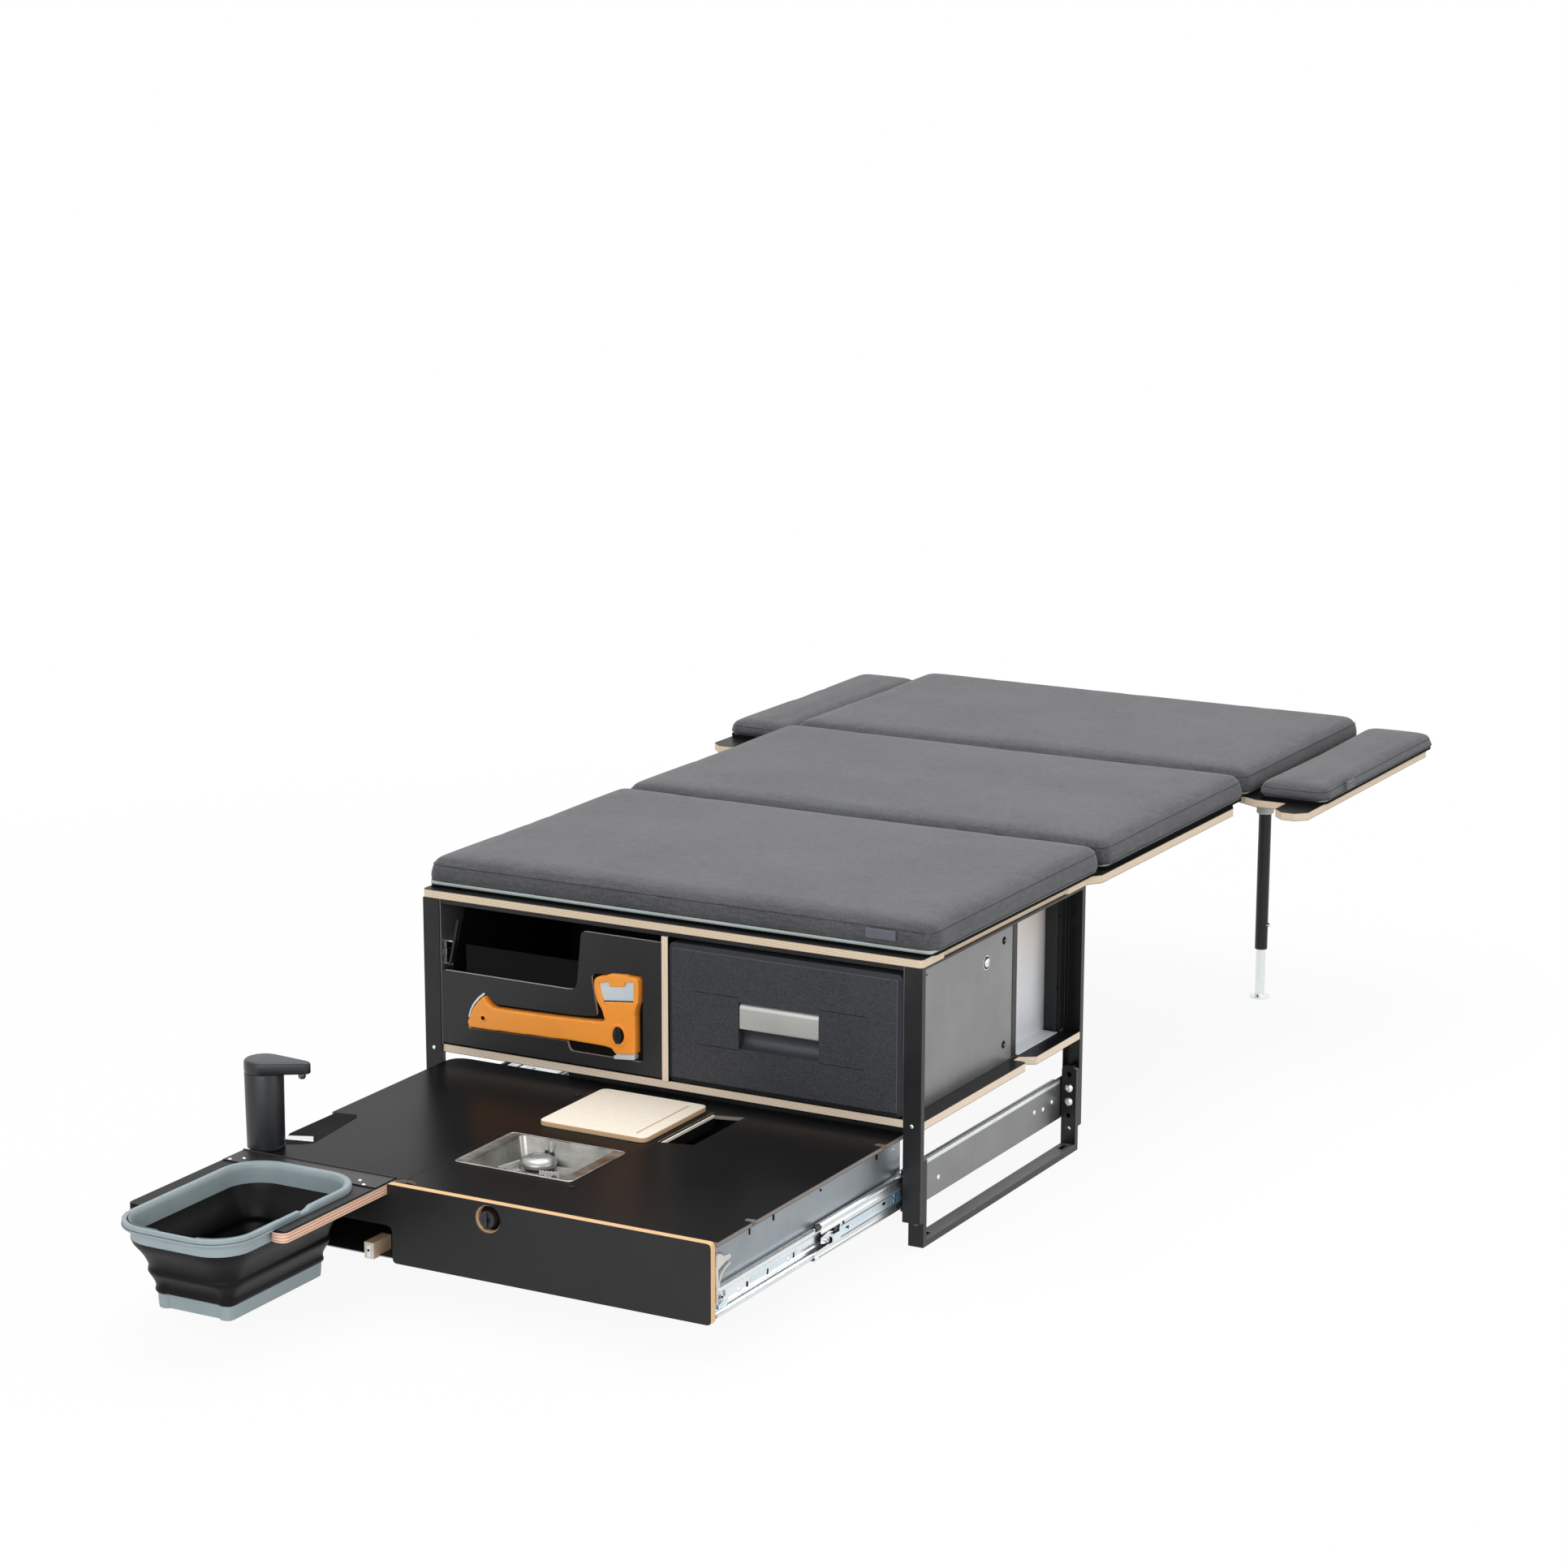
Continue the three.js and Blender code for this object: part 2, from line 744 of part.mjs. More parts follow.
// Middle part of a runner, half way out, with the ball runs that carry it in the outer part
function slideMid() {
  const back = postInner - slideSheet - slideSheet;
  const low = slideBottom + slideMidRise + slideSheet;
  const high = slideBottom + slideHeight - slideMidRise - slideSheet;
  const front = (kitchenBack + slideFront) / 2;
  const rear = front + slideLength;
  const outer = slideBottom + slideSheet + seatGap;
  const outerTop = slideBottom + slideHeight - slideSheet - seatGap;
  const runStart = rear - ballRunEnd - ballRunLength;
  const runX = back - slideMidWidth / 2 - ballRunWidth / 2;
  return join(
    cRail(back, -slideMidWidth, low, high, slideSheet, front, rear),
    block(runX, runX + ballRunWidth, runStart, rear - ballRunEnd, outer, low),
    block(runX, runX + ballRunWidth, runStart, rear - ballRunEnd, high, outerTop),
  );
}

// Inner part of a runner, on the drawer's side
function slideInner() {
  const low = slideBottom + slideInnerRise;
  const high = slideBottom + slideHeight - slideInnerRise;
  const midLow = slideBottom + slideMidRise + slideSheet + slideSheet + seatGap;
  const midHigh = slideBottom + slideHeight - slideMidRise - slideSheet - slideSheet - seatGap;
  const rear = kitchenBack + slideLength;
  const runStart = rear - ballRunEnd - ballRunLength;
  const runX = slideInnerFace + slideInnerWidth / 2;
  return join(
    cRail(slideInnerFace, slideInnerWidth, low, high, slideSheet, kitchenBack, rear),
    block(runX, runX + ballRunWidth, runStart, rear - ballRunEnd, midLow, low),
    block(runX, runX + ballRunWidth, runStart, rear - ballRunEnd, high, midHigh),
  );
}

// Sheet tray of the kitchen drawer, open at its front left, with the plywood block beside the opening
function kitchenTray() {
  const half = slideInnerFace;
  const front = kitchenBack;
  const fold = tableBottom - traySheet;
  const parts = [
    block(-half, half, front, trayRear, trayBottom, trayBottom + traySheet),
    block(-half, half, trayRear - traySheet, trayRear, trayBottom, tableBottom),
    block(-half, half, trayRear - trayFold, trayRear, fold, tableBottom),
    block(kitchenFrontLeft, half, front, front + traySheet, trayBottom, tableBottom),
    block(kitchenFrontLeft, half, front, front + trayFold, fold, tableBottom),
    block(blockRight - blockWidth, blockRight, kitchenFace, kitchenFace + blockLength,
      kitchenFrontBottom, kitchenFrontBottom + blockHeight),
  ];
  const leftFront = forkRear + runGap;
  for (const [x0, x1, y] of [[half - traySheet, half, front], [-half, traySheet - half, leftFront]]) {
    parts.push(block(x0, x1, y, trayRear, trayBottom, tableBottom));
  }
  for (const [x0, x1, y] of [[half - trayFold, half, front], [-half, trayFold - half, leftFront]]) {
    parts.push(block(x0, x1, y, trayRear, fold, tableBottom));
  }
  const slotTop = tableBottom - traySlotDrop;
  const slots = traySlotShares.map((share) => {
    const y = front + share * (trayRear - front);
    return block(-half - cutExtra, half + cutExtra, y, y + traySlotWidth, slotTop - traySlotHeight, slotTop);
  });
  return cut(join(...parts), ...slots);
}

// Front board: full height on the right, a band under the fork on the left
function kitchenFrontPanel() {
  const band = forkBottom - seatGap;
  const board = slabY(outline([
    [kitchenFrontHalf, kitchenFrontBottom, kitchenCorner], [kitchenFrontHalf, tableTop, kitchenCorner],
    [kitchenFrontTopLeft, tableTop], [kitchenFrontTopLeft, band], [-kitchenFrontHalf, band],
    [-kitchenFrontHalf, kitchenBandBottom, kitchenCorner],
    [kitchenFrontLeft, kitchenBandBottom, kitchenNotchCorner],
    [kitchenFrontLeft, kitchenFrontBottom, kitchenCorner],
  ]), kitchenFace, kitchenBack);
  return cut(board, rod("y", [knobX, knobZ], knobHoleRadius, kitchenFace - cutExtra, kitchenBack + cutExtra, 28));
}

function gasKnob() {
  const front = kitchenBack - knobLength;
  const grip = knobGripWidth / 2;
  return join(
    rod("y", [knobX, knobZ], knobRadius, front, kitchenBack - seatGap),
    block(knobX - grip, knobX + grip, front - knobGripHeight, front, knobZ - knobRadius, knobZ + knobRadius),
  );
}

// Table plates
function leftTablePlate() {
  const right = tableSeamLeft - runGap / 2;
  const plateFront = kitchenBack + seatGap;
  const finger = kitchenFrontTopLeft + fingerHalf;
  const cutOut = -tableHalf + tableCutDepth;
  const cutFront = tableCutFront + tapPlateLength;
  const front = forkRear + runGap / 2;
  const plate = slabZ(outline([
    [-tableHalf, tableRear, tableRearCorner], [-tableHalf, tableCutRear],
    [-tableHalf + tableCutStep, tableCutRear, tableCutDepth - tableCutStep],
    [cutOut, cutFront, tableCutDepth - tableCutStep], [-tableHalf, cutFront], [-tableHalf, front],
    [kitchenFrontTopLeft, front], [kitchenFrontTopLeft, plateFront], [right, plateFront],
    [right, tableRear],
  ]), tableBottom, tableTop);
  return cut(plate, rod("z", [finger, plateFront], fingerDepth, tableBottom - cutExtra, tableTop + cutExtra));
}

function centreTablePlate() {
  const left = tableSeamLeft + runGap / 2;
  const right = tableSeamRight - runGap / 2;
  const front = kitchenBack + seatGap;
  const finger = kitchenFrontTopLeft + fingerHalf;
  const hole = block(
    stoveLeft + stoveSideFlange - seatGap, stoveRight - stoveSideFlange + seatGap,
    stoveFront + stoveEndFlange - seatGap, stoveRear - stoveEndFlange + seatGap,
    tableBottom - cutExtra, tableTop + cutExtra,
  );
  return cut(
    block(left, right, front, tableRear, tableBottom, tableTop),
    hole,
    rod("z", [finger, front], fingerDepth, tableBottom - cutExtra, tableTop + cutExtra),
  );
}

function rightTablePlate() {
  const left = tableSeamRight + runGap / 2;
  const front = kitchenBack + seatGap;
  const plate = block(left, tableHalf, front, tableRear, tableBottom, tableTop);
  const slot = slabZ(outline([
    [tableSlotLeft, tableSlotFront], [tableSlotRight, tableSlotFront + tableSlotSlope],
    [tableSlotRight, tableSlotRear], [tableSlotLeft, tableSlotRear - tableSlotSlope],
  ]), tableBottom - cutExtra, tableTop + cutExtra);
  return cut(plate, slot);
}

// Pressed steel tray of the stove: a flange on the table and a basin below it
function stoveTray() {
  const basin = [
    stoveLeft + stoveSideFlange, stoveRight - stoveSideFlange,
    stoveFront + stoveEndFlange, stoveRear - stoveEndFlange,
  ];
  const level = (inset, radius, z) =>
    ring(basin[0] + inset, basin[1] - inset, basin[2] + inset, basin[3] - inset, radius, z);
  const top = tableTop + stoveSheet;
  return loft([
    level(stoveSlope, stoveCorner, stoveFloor),
    level(0, stoveCorner, tableTop),
    ring(stoveLeft, stoveRight, stoveFront, stoveRear, stoveCorner, tableTop),
    ring(stoveLeft, stoveRight, stoveFront, stoveRear, stoveCorner, top),
    level(stoveSheet, stoveCorner, top),
    level(stoveSlope + stoveSheet, stoveCorner, stoveFloor + stoveSheet),
  ]);
}

function burner() {
  const floor = stoveFloor + stoveSheet;
  const rise = floor + burnerFootHeight;
  const profile = [
    [0, floor], [burnerFootRadius, floor], [burnerFootRadius, rise], [burnerRadius, rise],
    ...burnerShares.map(([u, v]) => [burnerRadius * u, rise + burnerHeight * v]),
  ];
  const head = new THREE.LatheGeometry(profile.map(([r, z]) => new THREE.Vector2(r, z)), 24);
  const pinY = burnerY + burnerRadius - flamePinRadius;
  return join(
    head.rotateX(Math.PI / 2).translate(burnerX, burnerY, 0),
    rod("z", [burnerX, pinY], flamePinRadius, rise, floor + flamePinHeight, 8),
  );
}

// One arm of the pan support, on edge: arches below, teeth on top, and a bar to the ring
function panArm(x, y, length, turn) {
  const floor = stoveFloor + stoveSheet;
  const half = panArmThickness / 2;
  const plate = block(-length / 2, length / 2, -half, half, floor, floor + panArmHeight);
  const tools = [-1, 1].map((side) => rod(
    "y", [side * length / 4, floor + panBarWidth / 2], panArchRadius, -panArmThickness, panArmThickness, 12));
  const count = Math.floor(length / panToothPitch);
  for (let i = 0; i < count; i++) {
    const at = -length / 2 + (i + 1 / 2) * panToothPitch;
    const notch = panToothPitch / 2;
    const top = floor + panArmHeight;
    tools.push(block(at, at + notch, -panArmThickness, panArmThickness, top - panToothDepth, top + cutExtra));
  }
  const arm = cut(plate, ...tools).rotateZ(THREE.MathUtils.degToRad(turn)).translate(x, y, 0);
  const [alongX, alongY] = [burnerX - x, burnerY - y];
  const reach = Math.hypot(alongX, alongY) - panRingInner - panArmThickness;
  const bar = block(0, reach, -panBarWidth / 2, panBarWidth / 2, floor, floor + panRingThickness);
  return [arm, bar.rotateZ(Math.atan2(alongY, alongX)).translate(x, y, 0)];
}

// Pan support: a ring under the burner's head with two arms that are folded in
function panSupport() {
  const floor = stoveFloor + stoveSheet;
  const ringTop = floor + panRingThickness;
  return cut(
    join(
      rod("z", [burnerX, burnerY], panRingOuter, floor, ringTop, 28),
      ...panArm(leftArmX, leftArmY, leftArmLength, leftArmTurn),
      ...panArm(rightArmX, rightArmY, rightArmLength, rightArmTurn),
    ),
    rod("z", [burnerX, burnerY], panRingInner, floor - cutExtra, ringTop + cutExtra, 28),
  );
}

function choppingBoard() {
  const board = slabZ(outline([
    [choppingLeft, choppingFront, choppingCorner], [choppingRight, choppingFront, choppingCorner],
    [choppingRight, choppingRear, choppingCorner], [choppingLeft, choppingRear, choppingCorner],
  ]), tableTop, tableTop + choppingThickness);
  const top = tableTop + choppingThickness;
  return cut(board, block(
    grooveX, grooveX + grooveWidth, choppingFront + grooveInset, choppingRear - grooveInset,
    top - grooveDepth, top + cutExtra,
  ));
}

// Tap: a round battery base with a teardrop head and a nozzle under its tip
function tap() {
  const headBottom = tapHeight - tapHeadHeight;
  const profile = [
    [0, 0], [tapRadius - tapFootRound, 0], [tapRadius, tapFootRound], [tapRadius, headBottom + seatGap],
    [0, headBottom + seatGap],
  ];
  const base = new THREE.LatheGeometry(profile.map(([r, z]) => new THREE.Vector2(r, z)), 32);
  const lean = Math.acos((tapRadius - tapTipRadius) / tapReach);
  const head = new THREE.Shape();
  head.absarc(0, 0, tapRadius, lean, 2 * Math.PI - lean, false);
  head.absarc(tapReach, 0, tapTipRadius, -lean, lean, false);
  head.closePath();
  const top = new THREE.ExtrudeGeometry(head, { depth: tapHeadHeight, bevelEnabled: false, curveSegments: 12 });
  return join(
    base.rotateX(Math.PI / 2),
    top.translate(0, 0, headBottom),
    rod("z", [tapReach, 0], tapNozzleRadius, headBottom - tapNozzleLength, headBottom + seatGap, 12),
  );
}

// Fork of plywood, open at its front, whose prongs carry the bucket's rim
function sinkFork() {
  const bandLeft = bucketLeft + bucketBandInset - runGap;
  const bandRight = bucketRight - bucketBandInset + runGap;
  const bandRear = bucketRear - bucketBandInset * bucketEndRatioShare + runGap;
  const inner = bucketCorner - bucketBandInset;
  return slabZ(outline([
    [forkLeft, forkRear], [forkLeft, forkFront, forkTipCorner], [bandLeft, forkFront, forkTipCorner],
    [bandLeft, bandRear, inner], [bandRight, bandRear, inner], [bandRight, forkFront, forkTipCorner],
    [forkRight, forkFront, forkTipCorner], [forkRight, forkRear],
  ]), forkBottom, tableTop);
}

// A ring of the bucket, set in from its rim, more at the ends than at the sides
function bucketRing(inset, z, corner = 0) {
  const end = inset * bucketEndRatioShare;
  const radius = bucketCorner - inset * bucketCornerShare - corner;
  return ring(bucketLeft + inset, bucketRight - inset, bucketFront + end, bucketRear - end, radius, z, 5);
}

// The step in the rim's outer edge that the bail lies in, grown by a gap
function bailSpace(gap) {
  const top = bucketTop + (gap > 0 ? cutExtra : 0);
  const bottom = bucketTop - bailHeight - gap;
  const past = gap > 0 ? cutExtra : 0;
  const wide = bailWidth + gap;
  const outer = (z) => ring(
    bucketLeft - past, bucketRight + past, bucketFront - past, bucketRear + past, bucketCorner + past, z, bailSteps);
  const inner = (z) => ring(
    bucketLeft + wide, bucketRight - wide, bucketFront + wide, bucketRear - wide, bucketCorner - wide, z, bailSteps);
  const hoop = loft([outer(bottom), outer(top), inner(top), inner(bottom)], true);
  const behind = block(
    bucketLeft - cutExtra - past, bucketRight + cutExtra + past, bucketMiddleY + gap,
    bucketRear + cutExtra + past, bottom - cutExtra, top + cutExtra);
  return cut(hoop, behind);
}

// Rounded ends of the bail, which turn on the rim half way along its sides
function bailEnd(x, gap) {
  const z = bucketTop - bailHeight / 2;
  return rod("x", [bucketMiddleY, z], bailHeight / 2 + gap, x, x + bailWidth + gap, 12);
}

// Room over each end for the bail to stand up
function bailRoom(x) {
  const reach = bailHeight / 2 + seatGap;
  const z = bucketTop - bailHeight / 2;
  return block(x, x + bailWidth + seatGap, bucketMiddleY - reach, bucketMiddleY + reach, z, bucketTop + cutExtra);
}

function bucketHandle() {
  return join(bailSpace(0), bailEnd(bucketLeft, 0), bailEnd(bucketRight - bailWidth, 0));
}

function bucketRim() {
  const low = bucketTop - bucketRimHeight;
  const bottom = low - bucketBandHeight;
  const rim = loft([
    bucketRing(0, low), bucketRing(0, bucketTop), bucketRing(bucketBandInset + bucketRimWall, bucketTop),
    bucketRing(bucketBandInset + bucketWall, bottom), bucketRing(bucketBandInset, bottom),
    bucketRing(bucketBandInset, low),
  ], true);
  const rightX = bucketRight - bailWidth - seatGap;
  return cut(
    rim,
    bailSpace(seatGap),
    bailEnd(bucketLeft, seatGap),
    bailEnd(rightX, seatGap),
    bailRoom(bucketLeft),
    bailRoom(rightX),
  );
}

// Bellows and base of the bucket, one thin skin
function bucketBody() {
  const top = bucketTop - bucketRimHeight - bucketBandHeight - seatGap;
  const drop = top - (bucketTop - bucketDepth);
  const span = bucketBaseInset - bucketBandInset;
  const outside = bellowsShares.map(([u, v]) => bucketRing(bucketBandInset + u * span, top - v * drop));
  const inside = bellowsShares.slice(0, -1).map(([u, v]) =>
    bucketRing(bucketBandInset + u * span + bucketWall, top - v * (drop - bucketWall)));
  return loft([...outside.reverse(), ...inside]);
}

// Tool drawer
function toolFront() {
  const [left, right] = [toolFrontLeft, toolFrontRight];
  const highLeft = right - toolHighWidth;
  const window = shareOutline(axeWindowShares, axeLeft, axeBottom - seatGap, axeLength, axeHeight);
  const front = slabY(outline([
    [left, toolFrontBottom, toolCorner], [right, toolFrontBottom], [right, toolFrontHigh],
    [highLeft, toolFrontHigh, toolCorner], [highLeft - toolCurveWidth / 2, toolFrontLow, toolNotchCorner],
    [left, toolFrontLow, toolCorner],
  ]), 0, toolFrontThickness);
  return cut(front, slabY(window, -cutExtra, toolFrontThickness + cutExtra));
}

function toolBox() {
  const left = -panelInner + toolRunnerWidth + seatGap;
  const right = dividerLeft - toolRunnerWidth - seatGap;
  const front = toolFrontThickness;
  const rear = front + toolDepth;
  const floor = toolFrontBottom + toolFloorRise;
  const wall = front + toolWallGap;
  const side = outline([
    [front, floor], [rear, floor], [rear, toolFrontHigh], [front + toolSideSlope, toolFrontHigh],
    [front, toolFrontLow],
  ]);
  const railReach = toolRunnerWidth - toolRunnerSheet - seatGap;
  const low = toolRunnerBottom + toolRunnerSheet + seatGap;
  const high = toolRunnerBottom + toolRunnerHeight - toolRunnerSheet - seatGap;
  const railRear = toolRunnerFront + toolRunnerLength;
  return join(
    block(left, right, front, rear, floor, floor + toolSheet),
    slabX(side, left, left + toolSheet),
    slabX(side, right - toolSheet, right),
    block(left, right, rear - toolSheet, rear, floor, toolFrontHigh),
    block(left, right, wall, wall + toolSheet, floor, toolFrontLow - toolCorner),
    cRail(left, -railReach, low, high, toolRunnerSheet, toolRunnerFront, railRear),
    cRail(right, railReach, low, high, toolRunnerSheet, toolRunnerFront, railRear),
  );
}

function toolRunner(x, reach) {
  const top = toolRunnerBottom + toolRunnerHeight;
  return cRail(x, reach, toolRunnerBottom, top, toolRunnerSheet, toolRunnerFront, toolRunnerFront + toolRunnerLength);
}

// Axe
function axeSlab(shares, y0, y1, grow = 0) {
  const shape = shareOutline(shares, axeLeft, axeBottom, axeLength, axeHeight);
  const slab = slabY(shape, y0, y1);
  if (grow === 0) return slab;
  const [midX, midZ] = [axeLeft + axeLength * axeHeadMiddleShare, axeBottom + axeHeight / 2];
  const wide = 1 + (2 * grow) / (axeLength * axeHeadWidthShare);
  return slab.translate(-midX, 0, -midZ).scale(wide, 1, 1 + (2 * grow) / axeHeight).translate(midX, 0, midZ);
}

function axeHandle() {
  const back = axeThickness - axeProud;
  const handle = axeSlab(axeHandleShares, -axeProud, back);
  const headFront = (back - axeProud - axeHeadThickness) / 2;
  const holeX = axeLeft + axeLength * axeHoleShares[0];
  const holeZ = axeBottom + axeHeight * axeHoleShares[1];
  return cut(
    handle,
    axeSlab(axeHeadShares, headFront - seatGap, headFront + axeHeadThickness + seatGap, seatGap),
    rod("y", [holeX, holeZ], axeHoleRadius, -axeProud - cutExtra, back + cutExtra, 12),
  );
}

function axeHead() {
  const headFront = (axeThickness - axeProud - axeProud - axeHeadThickness) / 2;
  return axeSlab(axeHeadShares, headFront, headFront + axeHeadThickness);
}

// Guard over the blade, with a window that shows the steel
function axeSheath() {
  const back = axeThickness - axeProud;
  const headFront = (back - axeProud - axeHeadThickness) / 2;
  const low = axeBottom + axeHeight * sheathStartShare + seatGap;
  const window = shareOutline(sheathWindowShares, axeLeft, axeBottom, axeLength, axeHeight);
  return cut(
    axeSlab(axeSheathShares, -axeProud, back),
    axeSlab(axeHeadShares, headFront - seatGap, headFront + axeHeadThickness + seatGap, seatGap),
    slabY(window, -axeProud - cutExtra, headFront),
    block(axeLeft, axeLeft + axeLength + axeHeight, -axeProud - cutExtra, back + cutExtra, axeBottom, low),
  );
}

function axeKnob() {
  const knob = new THREE.CylinderGeometry(axeKnobWidth / 2, axeKnobWidth / 2, axeKnobDepth, 20);
  knob.scale(1, 1, axeKnobHeight / axeKnobWidth);
  return knob.translate(axeKnobX, -axeProud - axeKnobDepth / 2, axeKnobZ);
}

// Fridge front: a bevelled slab with a recess for the handle and a round finger scoop below it
function fridgeFront() {
  const left = dividerRight + frontGap;
  const right = panelInner - frontGap;
  const level = (inset, y) => ring(
    left + inset, right - inset, fridgeBottom + inset, fridgeTop - inset, fridgeCorner, -y, 3);
  const slab = loft([
    level(0, fridgeFrontThickness - fridgeFrontProud), level(0, fridgeBevel - fridgeFrontProud),
    level(fridgeBevel, -fridgeFrontProud),
  ]).rotateX(Math.PI / 2);
  const back = fridgeRecessDepth - fridgeFrontProud;
  const scoop = (fridgeHandleBottom - fridgeRecessBottom) / 2;
  return cut(
    slab,
    block(fridgeRecessLeft, fridgeRecessRight, -fridgeFrontProud - cutExtra, back,
      fridgeRecessBottom + scoop, fridgeRecessTop),
    rod("x", [0, fridgeRecessBottom + scoop], scoop, fridgeRecessLeft, fridgeRecessRight, 20),
  );
}

function fridgeHandle() {
  const left = fridgeRecessLeft + runGap + runGap;
  const right = fridgeRecessRight - runGap - runGap;
  const front = -fridgeFrontProud;
  const back = fridgeRecessDepth - fridgeFrontProud - seatGap;
  const earTop = fridgeHandleTop - fridgeHandleEar;
  const earLow = fridgeHandleBottom + fridgeHandleEar;
  return join(
    block(left, right, front, front + fridgeHandleThickness, fridgeHandleBottom, fridgeHandleTop),
    block(left, left + fridgeHandleEar, front, back, earLow, earTop),
    block(right - fridgeHandleEar, right, front, back, earLow, earTop),
  );
}

// Cabinet with a hollow for the bin and the cooling unit behind it
function fridgeCabinet() {
  const left = dividerRight + fridgeCabinetInset;
  const right = panelInner - fridgeCabinetInset;
  const wall = fridgeCabinetWall;
  const engineRight = panFace - panelSheet - runGap;
  const box = join(
    block(left, right, fridgeCabinetFront, fridgeCabinetRear, shelfTop, fridgeTop),
    block(left + fridgeEngineInset, engineRight, fridgeCabinetRear - wall, fridgeEngineRear,
      shelfTop, fridgeEngineTop),
  );
  return cut(box, block(left + wall, right - wall, fridgeCabinetFront - cutExtra,
    fridgeCabinetRear - wall, shelfTop + wall, fridgeTop - wall));
}

function fridgeBin() {
  const hollow = fridgeCabinetInset + fridgeCabinetWall + fridgeBinGap;
  const left = dividerRight + hollow;
  const right = panelInner - hollow;
  const front = fridgeFrontThickness - fridgeFrontProud;
  const low = shelfTop + fridgeCabinetWall + seatGap;
  const wall = fridgeBinWall;
  return cut(
    block(left, right, front, fridgeBinRear, low, fridgeBinTop),
    block(left + wall, right - wall, front + wall, fridgeBinRear - wall, low + wall, fridgeBinTop + cutExtra),
  );
}

// Bed boards
function midBoard() {
  const widest = boxHalfWidth + midBoardPast;
  return slabZ(evenOutline([
    [boxHalfWidth - midBoardFrontInset, midBoardFront], [widest, midBoardFront + midBoardChamfer],
    [widest, midBoardRear - midBoardRearSlope], [boxHalfWidth + midBoardRearPast, midBoardRear],
  ]), boardBottom, bedTop);
}

function headBoard() {
  return slabZ(evenOutline([
    [headBoardHalf, headBoardFront], [headBoardHalf, headBoardRear, headBoardCorner],
  ]), boardBottom, bedTop);
}

function wingBoard() {
  const inner = headBoardHalf + seatGap;
  const innerEnd = inner + wingInnerStep;
  const rear = headBoardRear - wingRearInset;
  const tongueLeft = wingRight - wingTongueWidth;
  const tongueFront = headBoardFront - wingTongueReach;
  return slabZ(outline([
    [inner, rear], [inner, wingFront + wingInnerSlope], [innerEnd, wingFront],
    [tongueLeft, wingFront], [tongueLeft, tongueFront + wingChamfer],
    [tongueLeft + wingChamfer, tongueFront], [wingRight - wingChamfer, tongueFront],
    [wingRight, tongueFront + wingChamfer], [wingRight, rear - wingChamfer],
    [wingRight - wingChamfer, rear],
  ]), boardBottom, bedTop);
}

// Leg bracket: a plate under the board, two ears and the pivot pin
function legBracket() {
  const plate = boardBottom - legBaseThickness;
  const ears = [legEarGap, -legEarGap - legEarThickness].map((x) => block(
    legX + x, legX + x + legEarThickness, legY - legEarHalf, legY + legEarHalf,
    boardBottom - legEarDrop, boardBottom,
  ));
  return join(
    block(legX - legBaseHalf, legX + legBaseHalf, legY - legBaseHalf, legY + legBaseHalf, plate, boardBottom),
    ...ears,
    rod("x", [legY, legPivot], legPinRadius, legX - legEarGap - legEarThickness,
      legX + legEarGap + legEarThickness, 12),
  );
}

function leg() {
  const bar = join(
    rod("z", [legX, legY], legRadius, legBottom, legPivot + legTopPast),
    rod("z", [legX, legY], legCollarRadius, legCollarBottom, legCollarBottom + legCollarHeight),
  );
  const across = legRadius + cutExtra;
  return cut(
    bar,
    rod("z", [legX, legY], legBore, legBottom - cutExtra, legBottom + legBoreDepth, 16),
    rod("x", [legY, legPivot], legPinRadius + seatGap, legX - across, legX + across, 12),
  );
}

function legFoot() {
  return join(
    rod("z", [legX, legY], legFootTube, 0, legFootTubeTop, 16),
    rod("z", [legX, legY], legFootRadius, 0, legFootThickness, 24),
  );
}

// A cushion: drawn-in sides, a rounded edge and a crown
function cushion(x0, x1, y0, y1, height) {
  const bottom = bedTop + seatGap;
  const gap = cushionSideGap;
  const half = Math.min(x1 - x0, y1 - y0) / 2 - gap;
  const level = (inset, v) => ring(
    x0 + gap + inset, x1 - gap - inset, y0 + gap + inset, y1 - gap - inset,
    Math.max(cushionCorner - inset, cushionCornerLeast), bottom + v * height, 4);
  const crown = cushionRound * crownStartShare;
  const rest = half - crown - cushionCornerLeast;
  return loft([
    ...cushionShares.map(([u, v]) => level(u * cushionRound, v)),
    ...cushionCrownShares.map(([u, v]) => level(crown + u * rest, v)),
  ]);
}

// Assembly
const box = new THREE.Group();

function buildFrame() {
  const frame = new THREE.Group();
  pair(frame, "side_frame", sideFrame(), steelBlack);
  piece(frame, "top_frame", topFrame(), steelBlack);
  pair(frame, "foot_frame", footFrame(), steelBlack);
  piece(frame, "top_board", topBoard(), plywood);
  piece(frame, "shelf_board", shelfBoard(), plywood);
  piece(frame, "divider_board", dividerBoard(), plywood);
  pair(frame, "side_panel", sidePanel(), panelGrey);
  pair(frame, "slide_plate", slidePlate(), panelGrey);
  const slideTop = slideBottom + slideHeight;
  const outer = cRail(postInner, -slideLip, slideBottom, slideTop, slideSheet, slideFront, slideFront + slideLength);
  pair(frame, "slide_outer", outer, zinc);
  piece(frame, "left_tool_runner", toolRunner(-panelInner, toolRunnerWidth), zinc);
  piece(frame, "right_tool_runner", toolRunner(dividerLeft, -toolRunnerWidth), zinc);
  piece(frame, "fridge_cabinet", fridgeCabinet(), fridgePlastic);
  return frame;
}

